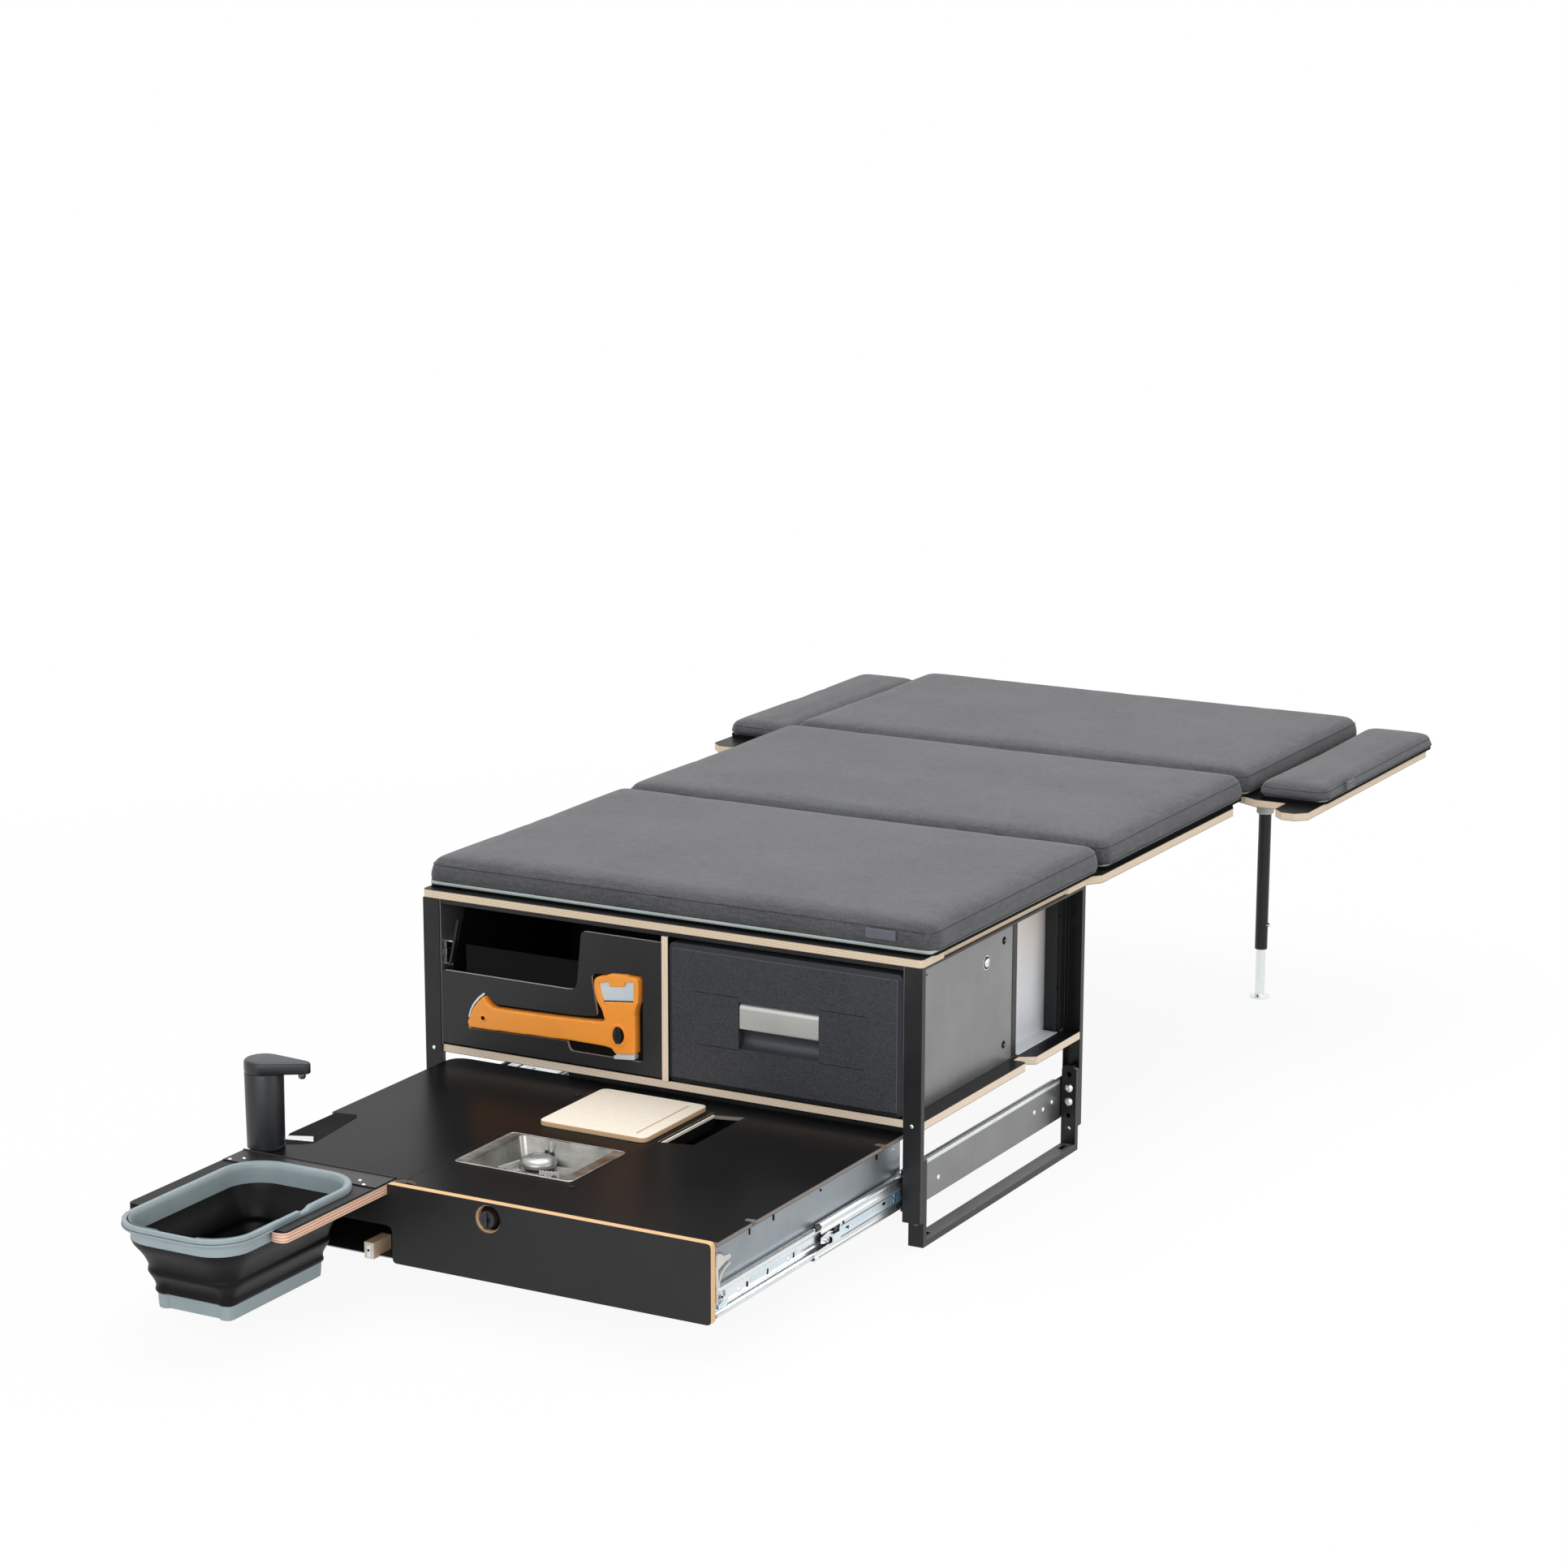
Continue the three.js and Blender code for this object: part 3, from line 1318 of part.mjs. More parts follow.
function buildKitchen() {
  const kitchen = new THREE.Group();
  piece(kitchen, "kitchen_tray", kitchenTray(), blueGrey);
  piece(kitchen, "kitchen_front_panel", kitchenFrontPanel(), blackBoard);
  piece(kitchen, "left_table_plate", leftTablePlate(), blackBoard);
  piece(kitchen, "centre_table_plate", centreTablePlate(), blackBoard);
  piece(kitchen, "right_table_plate", rightTablePlate(), blackBoard);
  piece(kitchen, "stove_tray", stoveTray(), steelBright);
  piece(kitchen, "burner", burner(), steelBright);
  piece(kitchen, "pan_support", panSupport(), steelBright);
  piece(kitchen, "gas_knob", gasKnob(), blackPlastic);
  pair(kitchen, "slide_inner", slideInner(), zinc);
  pair(kitchen, "slide_mid", slideMid(), zinc);
  piece(kitchen, "chopping_board", choppingBoard(), plywood);
  const water = piece(kitchen, "tap", tap(), blackPlastic);
  water.position.set(tapX, tapY, tableTop);
  water.rotation.z = THREE.MathUtils.degToRad(tapTurn);
  piece(kitchen, "sink_fork", sinkFork(), blackBoard);
  piece(kitchen, "bucket_rim", bucketRim(), rimGrey);
  piece(kitchen, "bucket_body", bucketBody(), bellowsBlack);
  piece(kitchen, "bucket_handle", bucketHandle(), rimGrey);
  return kitchen;
}

function buildDrawers() {
  const drawers = new THREE.Group();
  piece(drawers, "tool_drawer_front", toolFront(), blackBoard);
  piece(drawers, "tool_drawer_box", toolBox(), steelBlack);
  piece(drawers, "axe_handle", axeHandle(), orange);
  piece(drawers, "axe_head", axeHead(), steelBright);
  piece(drawers, "axe_sheath", axeSheath(), orange);
  piece(drawers, "axe_knob", axeKnob(), blackPlastic);
  piece(drawers, "fridge_front", fridgeFront(), fridgePlastic);
  piece(drawers, "fridge_bin", fridgeBin(), fridgePlastic);
  piece(drawers, "fridge_handle", fridgeHandle(), steelBright);
  return drawers;
}

function buildBed() {
  const bed = new THREE.Group();
  piece(bed, "mid_board", midBoard(), plywood);
  piece(bed, "head_board", headBoard(), plywood);
  pair(bed, "wing_board", wingBoard(), plywood);
  pair(bed, "leg_bracket", legBracket(), steelBlack);
  pair(bed, "leg", leg(), steelBlack);
  pair(bed, "leg_foot", legFoot(), zinc);
  const halves = [cushionPast, cushionPast, cushionHeadPast].map((past) => boxHalfWidth + past);
  const joints = [cushionFront, topBoardDepth + cushionJointOnePast, midBoardRear + cushionJointTwoPast, cushionRear];
  ["front", "mid", "head"].forEach((name, i) => {
    const pad = cushion(-halves[i], halves[i], joints[i], joints[i + 1], cushionHeight);
    piece(bed, name + "_cushion", pad, cushionGrey);
  });
  const inner = headBoardHalf + wingCushionInset;
  const outer = wingRight + wingCushionPast;
  const wing = cushion(inner, outer, wingFront + wingCushionFrontInset, cushionRear, wingCushionHeight);
  pair(bed, "wing_cushion", wing, cushionGrey);
  return bed;
}

box.add(buildFrame(), buildKitchen(), buildDrawers(), buildBed());
box.position.y = -(bucketFront + cushionRear - cushionSideGap) / 2;
export default box;
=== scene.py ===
import math

import bmesh
import bpy
from mathutils import Euler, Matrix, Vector
from mathutils.bvhtree import BVHTree
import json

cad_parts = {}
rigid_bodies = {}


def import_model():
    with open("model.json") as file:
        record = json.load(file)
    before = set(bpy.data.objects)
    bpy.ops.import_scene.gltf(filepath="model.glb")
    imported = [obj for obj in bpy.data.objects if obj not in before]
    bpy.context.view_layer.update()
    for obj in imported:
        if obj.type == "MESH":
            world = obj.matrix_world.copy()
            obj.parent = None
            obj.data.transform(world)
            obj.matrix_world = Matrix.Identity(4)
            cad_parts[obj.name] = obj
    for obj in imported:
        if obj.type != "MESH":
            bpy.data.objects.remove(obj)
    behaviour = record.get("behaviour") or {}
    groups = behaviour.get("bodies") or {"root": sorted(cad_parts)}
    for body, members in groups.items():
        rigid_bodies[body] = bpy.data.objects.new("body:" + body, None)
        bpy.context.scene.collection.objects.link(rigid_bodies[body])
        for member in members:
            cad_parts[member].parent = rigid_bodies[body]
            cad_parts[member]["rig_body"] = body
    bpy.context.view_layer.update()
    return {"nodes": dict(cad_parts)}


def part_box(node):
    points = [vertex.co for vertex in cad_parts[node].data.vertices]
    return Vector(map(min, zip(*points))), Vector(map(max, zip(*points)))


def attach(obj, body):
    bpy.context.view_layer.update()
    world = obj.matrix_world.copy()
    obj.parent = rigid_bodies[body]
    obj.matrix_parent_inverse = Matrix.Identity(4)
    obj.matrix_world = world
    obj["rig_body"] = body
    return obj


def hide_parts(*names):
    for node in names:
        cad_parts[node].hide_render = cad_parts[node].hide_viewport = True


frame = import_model()

# Sizes below are millimetres from the middle of the box's front, at floor level
mm = 0.001
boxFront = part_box("top_board")[0].y
hands = ((-1, "left"), (1, "right"))


def at(x, y, z):
    return Vector((x * mm, boxFront + y * mm, z * mm))


def fromFrame(point):
    return point.x / mm, (point.y - boxFront) / mm, point.z / mm


def bodyOf(node):
    return frame["nodes"][node]["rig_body"]


def evaluatedMesh(thing):
    graph = bpy.context.evaluated_depsgraph_get()
    return bpy.data.meshes.new_from_object(thing.evaluated_get(graph))


# Short ways to write nodes
def feed(tree, socket, value):
    if isinstance(value, bpy.types.NodeSocket):
        tree.links.new(value, socket)
    else:
        socket.default_value = value


def addNode(tree, kind, inputs=(), **settings):
    made = tree.nodes.new(kind)
    for key, value in settings.items():
        setattr(made, key, value)
    for key, value in dict(inputs).items():
        feed(tree, made.inputs[key], value)
    return made


def firstOut(tree, kind, inputs=(), **settings):
    return addNode(tree, kind, inputs, **settings).outputs[0]


def mathNode(tree, operation, a, b=0.0):
    return firstOut(tree, "ShaderNodeMath", {0: a, 1: b}, operation=operation)


def plus(tree, a, b):
    return mathNode(tree, "ADD", a, b)


def times(tree, a, b):
    return mathNode(tree, "MULTIPLY", a, b)


def stretched(tree, vector, factors):
    return firstOut(tree, "ShaderNodeVectorMath", {0: vector, 1: factors}, operation="MULTIPLY")


def objectPlace(tree):
    return addNode(tree, "ShaderNodeTexCoord").outputs["Object"]


def noise(tree, vector, scale, detail, roughness=0.5, distortion=0.0):
    return firstOut(tree, "ShaderNodeTexNoise", {
        "Vector": vector, "Scale": scale, "Detail": detail, "Roughness": roughness, "Distortion": distortion})


def spread(tree, value, low, high, newLow=0.0, newHigh=1.0):
    return firstOut(tree, "ShaderNodeMapRange", {
        "Value": value, "From Min": low, "From Max": high, "To Min": newLow, "To Max": newHigh})


def mixed(tree, factor, a, b):
    made = addNode(tree, "ShaderNodeMix", {0: factor}, data_type="RGBA", blend_type="MIX")
    for key, value in ((6, a), (7, b)):
        feed(tree, made.inputs[key], value if isinstance(value, bpy.types.NodeSocket) else (*value, 1))
    return made.outputs[2]


def newTree(name, kind, inputs, outputs):
    tree = bpy.data.node_groups.new(name, kind)
    for direction, sockets in (("INPUT", inputs), ("OUTPUT", outputs)):
        for key, socketType in sockets.items():
            tree.interface.new_socket(key, in_out=direction, socket_type="NodeSocket" + socketType)
    return tree, tree.nodes.new("NodeGroupInput").outputs, tree.nodes.new("NodeGroupOutput").inputs


def newGroup(name, inputs, outputs):
    kinds = {key: "Vector" if isinstance(value, tuple) else "Float" for key, value in inputs.items()}
    made = newTree(name, "ShaderNodeTree", kinds, dict.fromkeys(outputs, "Float"))
    for item in made[0].interface.items_tree:
        if item.in_out == "INPUT":
            item.default_value = inputs[item.name]
    return made


def useGroup(tree, group, **values):
    return addNode(tree, "ShaderNodeGroup", values, node_tree=group).outputs


# Camera, lamps and floor
scene = bpy.context.scene
scene.view_settings.view_transform = "Standard"

studio = {
    "place": (3.31446, -6.07251, 2.20828), "turn": (75.62262, 0.16595, 29.8236),
    "lens": 92.36222, "sensor": 36, "shift": (0.0446633, 0.0721971), "farthest": 60,
    "ambient": 0.5, "floor": 14,
    "lamps": {
        "overheadLamp": ((-0.4, 0.3, 3.6), (0, 0.2, 0.3), (3.6, 3.0), 96),
        "frontLamp": ((0.6, -4.6, 1.6), (0, -0.4, 0.3), (3.4, 1.8), 68),
        "rightLamp": ((4.2, -0.6, 1.5), (0.4, -0.4, 0.2), (2.4, 1.8), 28),
        "backLamp": ((1.5, 4.2, 2.4), (0, 0.6, 0.4), (2.6, 1.6), 44)},
}


def addObject(name, data):
    made = bpy.data.objects.new(name, data)
    scene.collection.objects.link(made)
    return made


cameraData = bpy.data.cameras.new("camera")
cameraData.lens = studio["lens"]
cameraData.sensor_width = studio["sensor"]
cameraData.shift_x, cameraData.shift_y = studio["shift"]
cameraData.clip_end = studio["farthest"]
camera = addObject("camera", cameraData)
camera.location = studio["place"]
camera.rotation_euler = Euler([math.radians(a) for a in studio["turn"]])
scene.camera = camera


# Seen straight, through glass or in a gloss, the surroundings are plain white
def whiteWhenSeen(tree, whiteKind, plainShader, surface, weight=None):
    path = addNode(tree, "ShaderNodeLightPath").outputs
    seen = path["Is Camera Ray"]
    for other in ("Is Glossy Ray", "Is Transmission Ray"):
        seen = mathNode(tree, "MAXIMUM", seen, path[other])
    if weight is not None:
        seen = times(tree, seen, weight)
    white = firstOut(tree, whiteKind, {"Color": (1, 1, 1, 1), "Strength": 1})
    tree.links.new(firstOut(tree, "ShaderNodeMixShader", {0: seen, 1: plainShader, 2: white}), surface)


world = bpy.data.worlds.new("studio")
scene.world = world
world.use_nodes = True
ambient = world.node_tree.nodes["Background"]
ambient.inputs["Color"].default_value = (1, 1, 1, 1)
ambient.inputs["Strength"].default_value = studio["ambient"]
surface = world.node_tree.nodes["World Output"].inputs["Surface"]
whiteWhenSeen(world.node_tree, "ShaderNodeBackground", ambient.outputs[0], surface)

for name, (place, aim, size, power) in studio["lamps"].items():
    data = bpy.data.lights.new(name, "AREA")
    data.shape = "RECTANGLE"
    data.size, data.size_y = size
    data.energy = power
    lamp = addObject(name, data)
    lamp.location = place
    lamp.rotation_euler = (Vector(aim) - Vector(place)).to_track_quat("-Z", "Y").to_euler()

far = studio["floor"]
floorMesh = bpy.data.meshes.new("studioFloor")
floorMesh.from_pydata([(-far, -far, 0), (far, -far, 0), (far, far, 0), (-far, far, 0)], [], [(0, 1, 2, 3)])
studioFloor = addObject("studioFloor", floorMesh)
print("studio ready")


# Fine and broad unevenness, which can be drawn out along an axis, as brushing or wood grain is
tree, given, wanted = newGroup("surfaceGrain", {"Stretch": (1.0, 1.0, 1.0), "Fine": 900.0, "Broad": 9.0},
    ("Grain", "Cloud"))
place = objectPlace(tree)
fine = noise(tree, stretched(tree, place, given["Stretch"]), given["Fine"], 3, 0.6)
broad = noise(tree, place, given["Broad"], 5, 0.55)
tree.links.new(fine, wanted["Grain"])
tree.links.new(spread(tree, broad, 0.3, 0.7), wanted["Cloud"])
grainGroup = tree

# Scuffs and fine scratches: a mask that is 1 where the surface is worn
tree, given, wanted = newGroup("scuffs", {"Scale": 14.0, "Amount": 0.4}, ("Worn",))
place = objectPlace(tree)
patches = noise(tree, place, given["Scale"], 6, 0.7)
scratch = noise(tree, stretched(tree, place, (9.0, 70.0, 34.0)), 9, 4, 0.7, 0.8)
rubbed = spread(tree, patches, 0.52, 0.66)
marked = mathNode(tree, "MAXIMUM", spread(tree, scratch, 0.63, 0.68), times(tree, rubbed, 0.5))
tree.links.new(times(tree, times(tree, marked, rubbed), given["Amount"]), wanted["Worn"])
wearGroup = tree

# Layers of a plywood edge across the axis the board is thin in, and the dark film on its two faces
tree, given, wanted = newGroup(
    "plyLayers", {"Across": (0.0, 0.0, 1.0), "Along": (14.0, 14.0, 400.0), "Layer": 0.0014, "Middle": 0.0,
        "Half": 0.1, "Film": 0.0008},
    ("Layer", "Grain", "Film"))
place = objectPlace(tree)
across = addNode(tree, "ShaderNodeVectorMath", {0: place, 1: given["Across"]},
    operation="DOT_PRODUCT").outputs["Value"]
depth = mathNode(tree, "SUBTRACT", across, given["Middle"])
shifted = plus(tree, mathNode(tree, "DIVIDE", depth, given["Layer"]), times(tree, noise(tree, place, 16, 3), 0.15))
tree.links.new(spread(tree, mathNode(tree, "PINGPONG", shifted, 1.0), 0.25, 0.75), wanted["Layer"])
tree.links.new(noise(tree, stretched(tree, place, given["Along"]), 6, 6, 0.65), wanted["Grain"])
inFrom = mathNode(tree, "SUBTRACT", given["Half"], mathNode(tree, "ABSOLUTE", depth))
tree.links.new(mathNode(tree, "LESS_THAN", inFrom, given["Film"]), wanted["Film"])
plyGroup = tree

# Woven cloth with a melange yarn: threads on whichever two axes the face lies in
tree, given, wanted = newGroup("melangeWeave", {"Threads": 5200.0, "Streak": 120.0}, ("Shade", "Cloud", "Height"))
place = objectPlace(tree)
split = addNode(tree, "ShaderNodeSeparateXYZ", {0: place}).outputs
waves = [mathNode(tree, "SINE", times(tree, split[i], given["Threads"])) for i in range(3)]
crossing = plus(tree, times(tree, waves[0], waves[1]), times(tree, waves[2], plus(tree, waves[0], waves[1])))
tree.links.new(spread(tree, crossing, -1.2, 1.2), wanted["Height"])
yarn = [noise(tree, stretched(tree, place, factors), given["Streak"], 6, 0.75) for factors in ((0.16, 1.0, 1.0),
    (1.0, 0.16, 1.0))]
tree.links.new(spread(tree, plus(tree, *yarn), 0.75, 1.25), wanted["Shade"])
tree.links.new(spread(tree, noise(tree, place, 6, 4, 0.6), 0.3, 0.7), wanted["Cloud"])
weaveGroup = tree

# Materials
finishes = {}


def newMaterial(name, **plain):
    material = bpy.data.materials.new(name)
    material.use_nodes = True
    shader = material.node_tree.nodes["Principled BSDF"]
    for key, value in plain.items():
        shader.inputs[key.replace("_", " ")].default_value = value
    finishes[name] = material
    return material.node_tree, shader.inputs


def linkBump(tree, shader, height, strength, distance):
    bump = firstOut(tree, "ShaderNodeBump", {"Height": height, "Strength": strength, "Distance": distance})
    tree.links.new(bump, shader["Normal"])


def colourOf(value):
    return value if isinstance(value, tuple) else (value,) * 3


# A colour is three values or one grey; reflectionTint: a painted reflection, a second colour that comes in between
# two heights, in metres
def coat(name, light, dark, rough, worn, fine=900, broad=9, stretch=(1, 1, 1), mix=0.4, wear=0.25, bump=0.15,
         depth=0.0002, metal=0.0, gloss=0.5, reflectionTint=None):
    tree, shader = newMaterial(name, Metallic=metal, Specular_IOR_Level=gloss)
    grain = useGroup(tree, grainGroup, Stretch=stretch, Fine=fine, Broad=broad)
    shade = plus(tree, times(tree, grain["Grain"], mix), times(tree, grain["Cloud"], 1 - mix))
    colour = mixed(tree, spread(tree, shade, 0.2, 0.8), colourOf(dark), colourOf(light))
    if reflectionTint:
        height = addNode(tree, "ShaderNodeSeparateXYZ", {0: objectPlace(tree)}).outputs[2]
        colour = mixed(tree, spread(tree, height, reflectionTint["low"], reflectionTint["high"]), colour, reflectionTint["colour"])
    scuff = useGroup(tree, wearGroup, Scale=14, Amount=wear)["Worn"]
    tree.links.new(mixed(tree, scuff, colour, colourOf(worn)), shader["Base Color"])
    uneven = plus(tree, times(tree, grain["Grain"], 0.5), times(tree, grain["Cloud"], 0.5))
    roughness = spread(tree, uneven, 0.2, 0.8, *rough)
    tree.links.new(plus(tree, roughness, times(tree, scuff, 0.15)), shader["Roughness"])
    linkBump(tree, shader, grain["Grain"], bump, depth)


# across: the axis the board is thin in; middle and half: where its faces are, in metres
def plyEdge(name, across, light, dark, middle=0.0, half=0.1, rough=0.6, layer=0.0014, film=0.0009):
    tree, shader = newMaterial(name)
    along = tuple(500.0 if a else 14.0 for a in across)
    ply = useGroup(tree, plyGroup, Across=across, Along=along, Layer=layer, Middle=middle, Half=half, Film=film)
    layers = mixed(tree, ply["Layer"], dark, light)
    streaks = spread(tree, ply["Grain"], 0.35, 0.7)
    wood = mixed(tree, times(tree, streaks, 0.3), layers, tuple(c * 0.74 for c in light))
    tree.links.new(mixed(tree, ply["Film"], wood, (0.02, 0.02, 0.021)), shader["Base Color"])
    tree.links.new(spread(tree, ply["Layer"], 0, 1, rough + 0.1, rough - 0.05), shader["Roughness"])
    linkBump(tree, shader, plus(tree, ply["Layer"], ply["Grain"]), 0.25, 0.0002)


# Name, light colour, dark colour, least and most roughness, colour where worn
coat("blackSteel", (0.013, 0.0133, 0.0142), (0.007, 0.0073, 0.0082), (0.3, 0.42), 0.05, fine=1500, bump=0.2,
    gloss=0.34)
coat("panelSteel", (0.285, 0.285, 0.283), (0.215, 0.215, 0.216), (0.3, 0.44), 0.28, fine=300, stretch=(1, 1, 0.03),
    mix=0.35, bump=0.03, wear=0.15, metal=0.75)
# The pan's warmer upper part, between 0.30 and 0.44 m, is a painted reflection
coat("panSteel", (0.84, 0.86, 0.88), (0.72, 0.74, 0.77), (0.4, 0.54), 0.4, fine=260, stretch=(1, 1, 0.03), mix=0.6,
    bump=0.05, wear=0.1, reflectionTint={"low": 0.30, "high": 0.44, "colour": (0.80, 0.73, 0.68)}, metal=0.4)
coat("zincSteel", (0.84, 0.865, 0.87), (0.74, 0.77, 0.78), (0.22, 0.3), (0.6, 0.62, 0.63), fine=420, mix=0.2,
    bump=0.01, wear=0.02, metal=1.0)
coat("zincBlue", (0.72, 0.82, 0.88), (0.64, 0.73, 0.79), (0.24, 0.32), (0.6, 0.66, 0.7), fine=420, broad=12,
    mix=0.2, bump=0.01, wear=0.02, metal=0.9)
coat("stripSteel", (0.86, 0.90, 0.91), (0.72, 0.76, 0.78), (0.25, 0.34), (0.5, 0.53, 0.54), fine=420, broad=20,
    mix=0.2, bump=0.01, wear=0.05, metal=0.6)
coat("blueSheet", (0.34, 0.375, 0.40), (0.25, 0.28, 0.305), (0.3, 0.46), (0.45, 0.48, 0.5), fine=300,
    stretch=(1, 0.05, 1), bump=0.05, metal=0.8)
# Inside of the tray: a dark sheet, darkened further as painted shade
coat("sheetInside", (0.035, 0.034, 0.034), (0.018, 0.018, 0.019), (0.4, 0.55), 0.07, fine=300, bump=0.05, gloss=0.3)
coat("filmFace", (0.0056, 0.0057, 0.0064), (0.0038, 0.0039, 0.0045), (0.28, 0.35), (0.013, 0.013, 0.0135), fine=700,
    broad=4, mix=0.2, bump=0.02, wear=0.1, gloss=0.07)
coat("gripFace", 0.013, 0.006, (0.42, 0.6), 0.03, fine=320, mix=0.8, bump=0.8, depth=0.0012, wear=0.05, gloss=0.35)
coat("frontFace", (0.0142, 0.0143, 0.0147), (0.0100, 0.0101, 0.0104), (0.34, 0.44), (0.032, 0.032, 0.033),
    fine=1200, broad=5, bump=0.05, wear=0.1, gloss=0.3)
coat("blackPlastic", (0.020, 0.0205, 0.022), (0.013, 0.0135, 0.015), (0.34, 0.5), (0.06, 0.06, 0.062), fine=1600,
    wear=0.1)
coat("tapPlastic", (0.0145, 0.0168, 0.0205), (0.0100, 0.0118, 0.0148), (0.3, 0.42), (0.06, 0.06, 0.062), fine=1600,
    bump=0.1, wear=0.08)
coat("fridgePlastic", (0.054, 0.0585, 0.069), (0.0062, 0.008, 0.0105), (0.42, 0.58), (0.05, 0.055, 0.062), fine=380,
    mix=0.94, bump=0.8, depth=0.001, wear=0.02, gloss=0.4)
coat("brightSteel", (0.42, 0.415, 0.39), (0.24, 0.24, 0.225), (0.26, 0.4), (0.24, 0.24, 0.23), fine=320,
    stretch=(0.06, 1, 1), broad=26, bump=0.06, metal=1.0)
coat("burnerSteel", (0.44, 0.44, 0.43), (0.28, 0.28, 0.275), (0.3, 0.42), 0.2, fine=600, bump=0.08, metal=1.0)
coat("handleMetal", (0.59, 0.595, 0.57), (0.52, 0.525, 0.505), (0.36, 0.42), (0.5, 0.5, 0.49), fine=360,
    stretch=(0.04, 1, 1), bump=0.02, wear=0.0, metal=0.6)
coat("tabFace", (0.19, 0.165, 0.15), (0.12, 0.105, 0.095), (0.4, 0.55), (0.25, 0.23, 0.21), bump=0.1)
# Inside of the tool drawer box: near-black, painted shade
coat("boxInside", (0.006, 0.006, 0.0065), (0.003, 0.003, 0.0034), (0.5, 0.7), 0.012, bump=0.1, gloss=0.12)
# Top faces of the foot frame: much lighter than black steel, a painted reflection of the white surroundings
coat("footTop", (0.19, 0.191, 0.195), (0.14, 0.141, 0.145), (0.3, 0.42), 0.22, fine=1500, bump=0.2, gloss=0.5)
coat("railShade", (0.10, 0.115, 0.115), (0.06, 0.07, 0.072), (0.4, 0.6), (0.16, 0.17, 0.17), fine=800, bump=0.05,
    metal=0.4)
coat("toolFace", (0.024, 0.0245, 0.026), (0.017, 0.0172, 0.0182), (0.34, 0.44), (0.045, 0.045, 0.046), fine=1200,
    broad=5, bump=0.05, wear=0.1, gloss=0.34)
coat("orangePlastic", (1.0, 0.37, 0.048), (0.95, 0.32, 0.036), (0.32, 0.44), (0.95, 0.5, 0.2), fine=1300, bump=0.06,
    wear=0.05)
coat("axeSteel", (0.78, 0.87, 0.92), (0.68, 0.77, 0.82), (0.3, 0.42), (0.5, 0.54, 0.58), fine=300,
    stretch=(1, 1, 0.08), bump=0.04, wear=0.1, metal=0.35)
coat("rimPlastic", (0.30, 0.365, 0.385), (0.245, 0.30, 0.32), (0.4, 0.55), (0.42, 0.46, 0.47), fine=1500, bump=0.12,
    wear=0.15)
coat("bellowsRubber", (0.0045, 0.0045, 0.005), (0.0026, 0.0026, 0.003), (0.36, 0.48), 0.016, fine=800, bump=0.12,
    wear=0.1, gloss=0.14)
coat("shadowGap", 0.006, 0.003, (0.7, 0.9), 0.008, fine=800, bump=0.1, gloss=0.1)
coat("leverPlastic", (0.66, 0.655, 0.63), (0.54, 0.535, 0.51), (0.35, 0.5), (0.4, 0.4, 0.39), fine=1300, bump=0.12)
coat("brassTip", (0.52, 0.45, 0.34), (0.36, 0.30, 0.22), (0.25, 0.4), (0.3, 0.26, 0.2), fine=800, bump=0.1,
    metal=1.0)
coat("bluePlastic", (0.05, 0.16, 0.27), (0.03, 0.11, 0.20), (0.35, 0.5), (0.2, 0.3, 0.4), fine=1300, bump=0.12)
coat("tag", (0.13, 0.142, 0.17), (0.09, 0.10, 0.12), (0.6, 0.8), (0.14, 0.15, 0.17), fine=2400, bump=0.3)
# Chamfer of the fridge front: a darker copy of the plastic, painted shade under the top board
coat("fridgeChamferShaded", (0.030, 0.033, 0.039), (0.0045, 0.0055, 0.0075), (0.42, 0.58), (0.05, 0.055, 0.062), fine=380,
    mix=0.94, bump=0.8, depth=0.001, wear=0.02, gloss=0.3)
# Curved faces of the hand cove: lighter, a painted highlight
coat("coveHighlight", (0.060, 0.067, 0.080), (0.030, 0.034, 0.042), (0.34, 0.44), (0.06, 0.065, 0.072), fine=380,
    mix=0.8, bump=0.2, wear=0.02, gloss=0.5)
coat("edgeShine", (0.115, 0.122, 0.138), (0.07, 0.076, 0.088), (0.4, 0.5), (0.12, 0.125, 0.14), bump=0.1)
coat("underside", (0.46, 0.52, 0.505), (0.38, 0.435, 0.42), (0.6, 0.8), (0.5, 0.55, 0.55), fine=1500, bump=0.3)
coat("seamThread", (0.030, 0.030, 0.032), (0.016, 0.016, 0.018), (0.8, 0.95), 0.04, fine=2400, bump=0.3)
upward, deep = (0, 0, 1), (0, 1, 0)
birch = ((0.96, 0.82, 0.65), (0.69, 0.54, 0.41))
# Edges of the bed boards: birch darkened as painted shade under the cushions
plyEdge("bedEdge", upward, (0.86, 0.72, 0.54), (0.60, 0.455, 0.32), 487.5 * mm, 7.5 * mm)
plyEdge("shelfEdge", upward, *birch, 211.5 * mm, 7.5 * mm)
plyEdge("frontEdge", deep, (0.92, 0.60, 0.32), (0.68, 0.40, 0.19), boxFront - 605.5 * mm, 7.5 * mm)
plyEdge("toolEdge", deep, (0.74, 0.65, 0.56), (0.52, 0.44, 0.36), boxFront + 4 * mm, 4 * mm, film=0.0014)
plyEdge("dividerEdge", (1, 0, 0), *birch, mm, 7 * mm)
plyEdge("tableEdge", upward, (0.31, 0.27, 0.245), (0.16, 0.132, 0.116), 186 * mm, 4 * mm, layer=0.0011, film=0.001)
plyEdge("forkEdge", upward, (0.92, 0.62, 0.46), (0.52, 0.27, 0.18), 181 * mm, 9 * mm, layer=0.0024, film=0.0012)
plyEdge("choppingEdge", upward, (0.80, 0.55, 0.33), (0.62, 0.39, 0.21), 194.5 * mm, 20 * mm)
plyEdge("blockEdge", deep, (0.80, 0.62, 0.44), (0.50, 0.34, 0.21), boxFront - 588 * mm, 60 * mm, layer=0.0022)
plyEdge("birchFace", upward, (0.95, 0.88, 0.77), (0.90, 0.82, 0.70), half=9, layer=0.02)


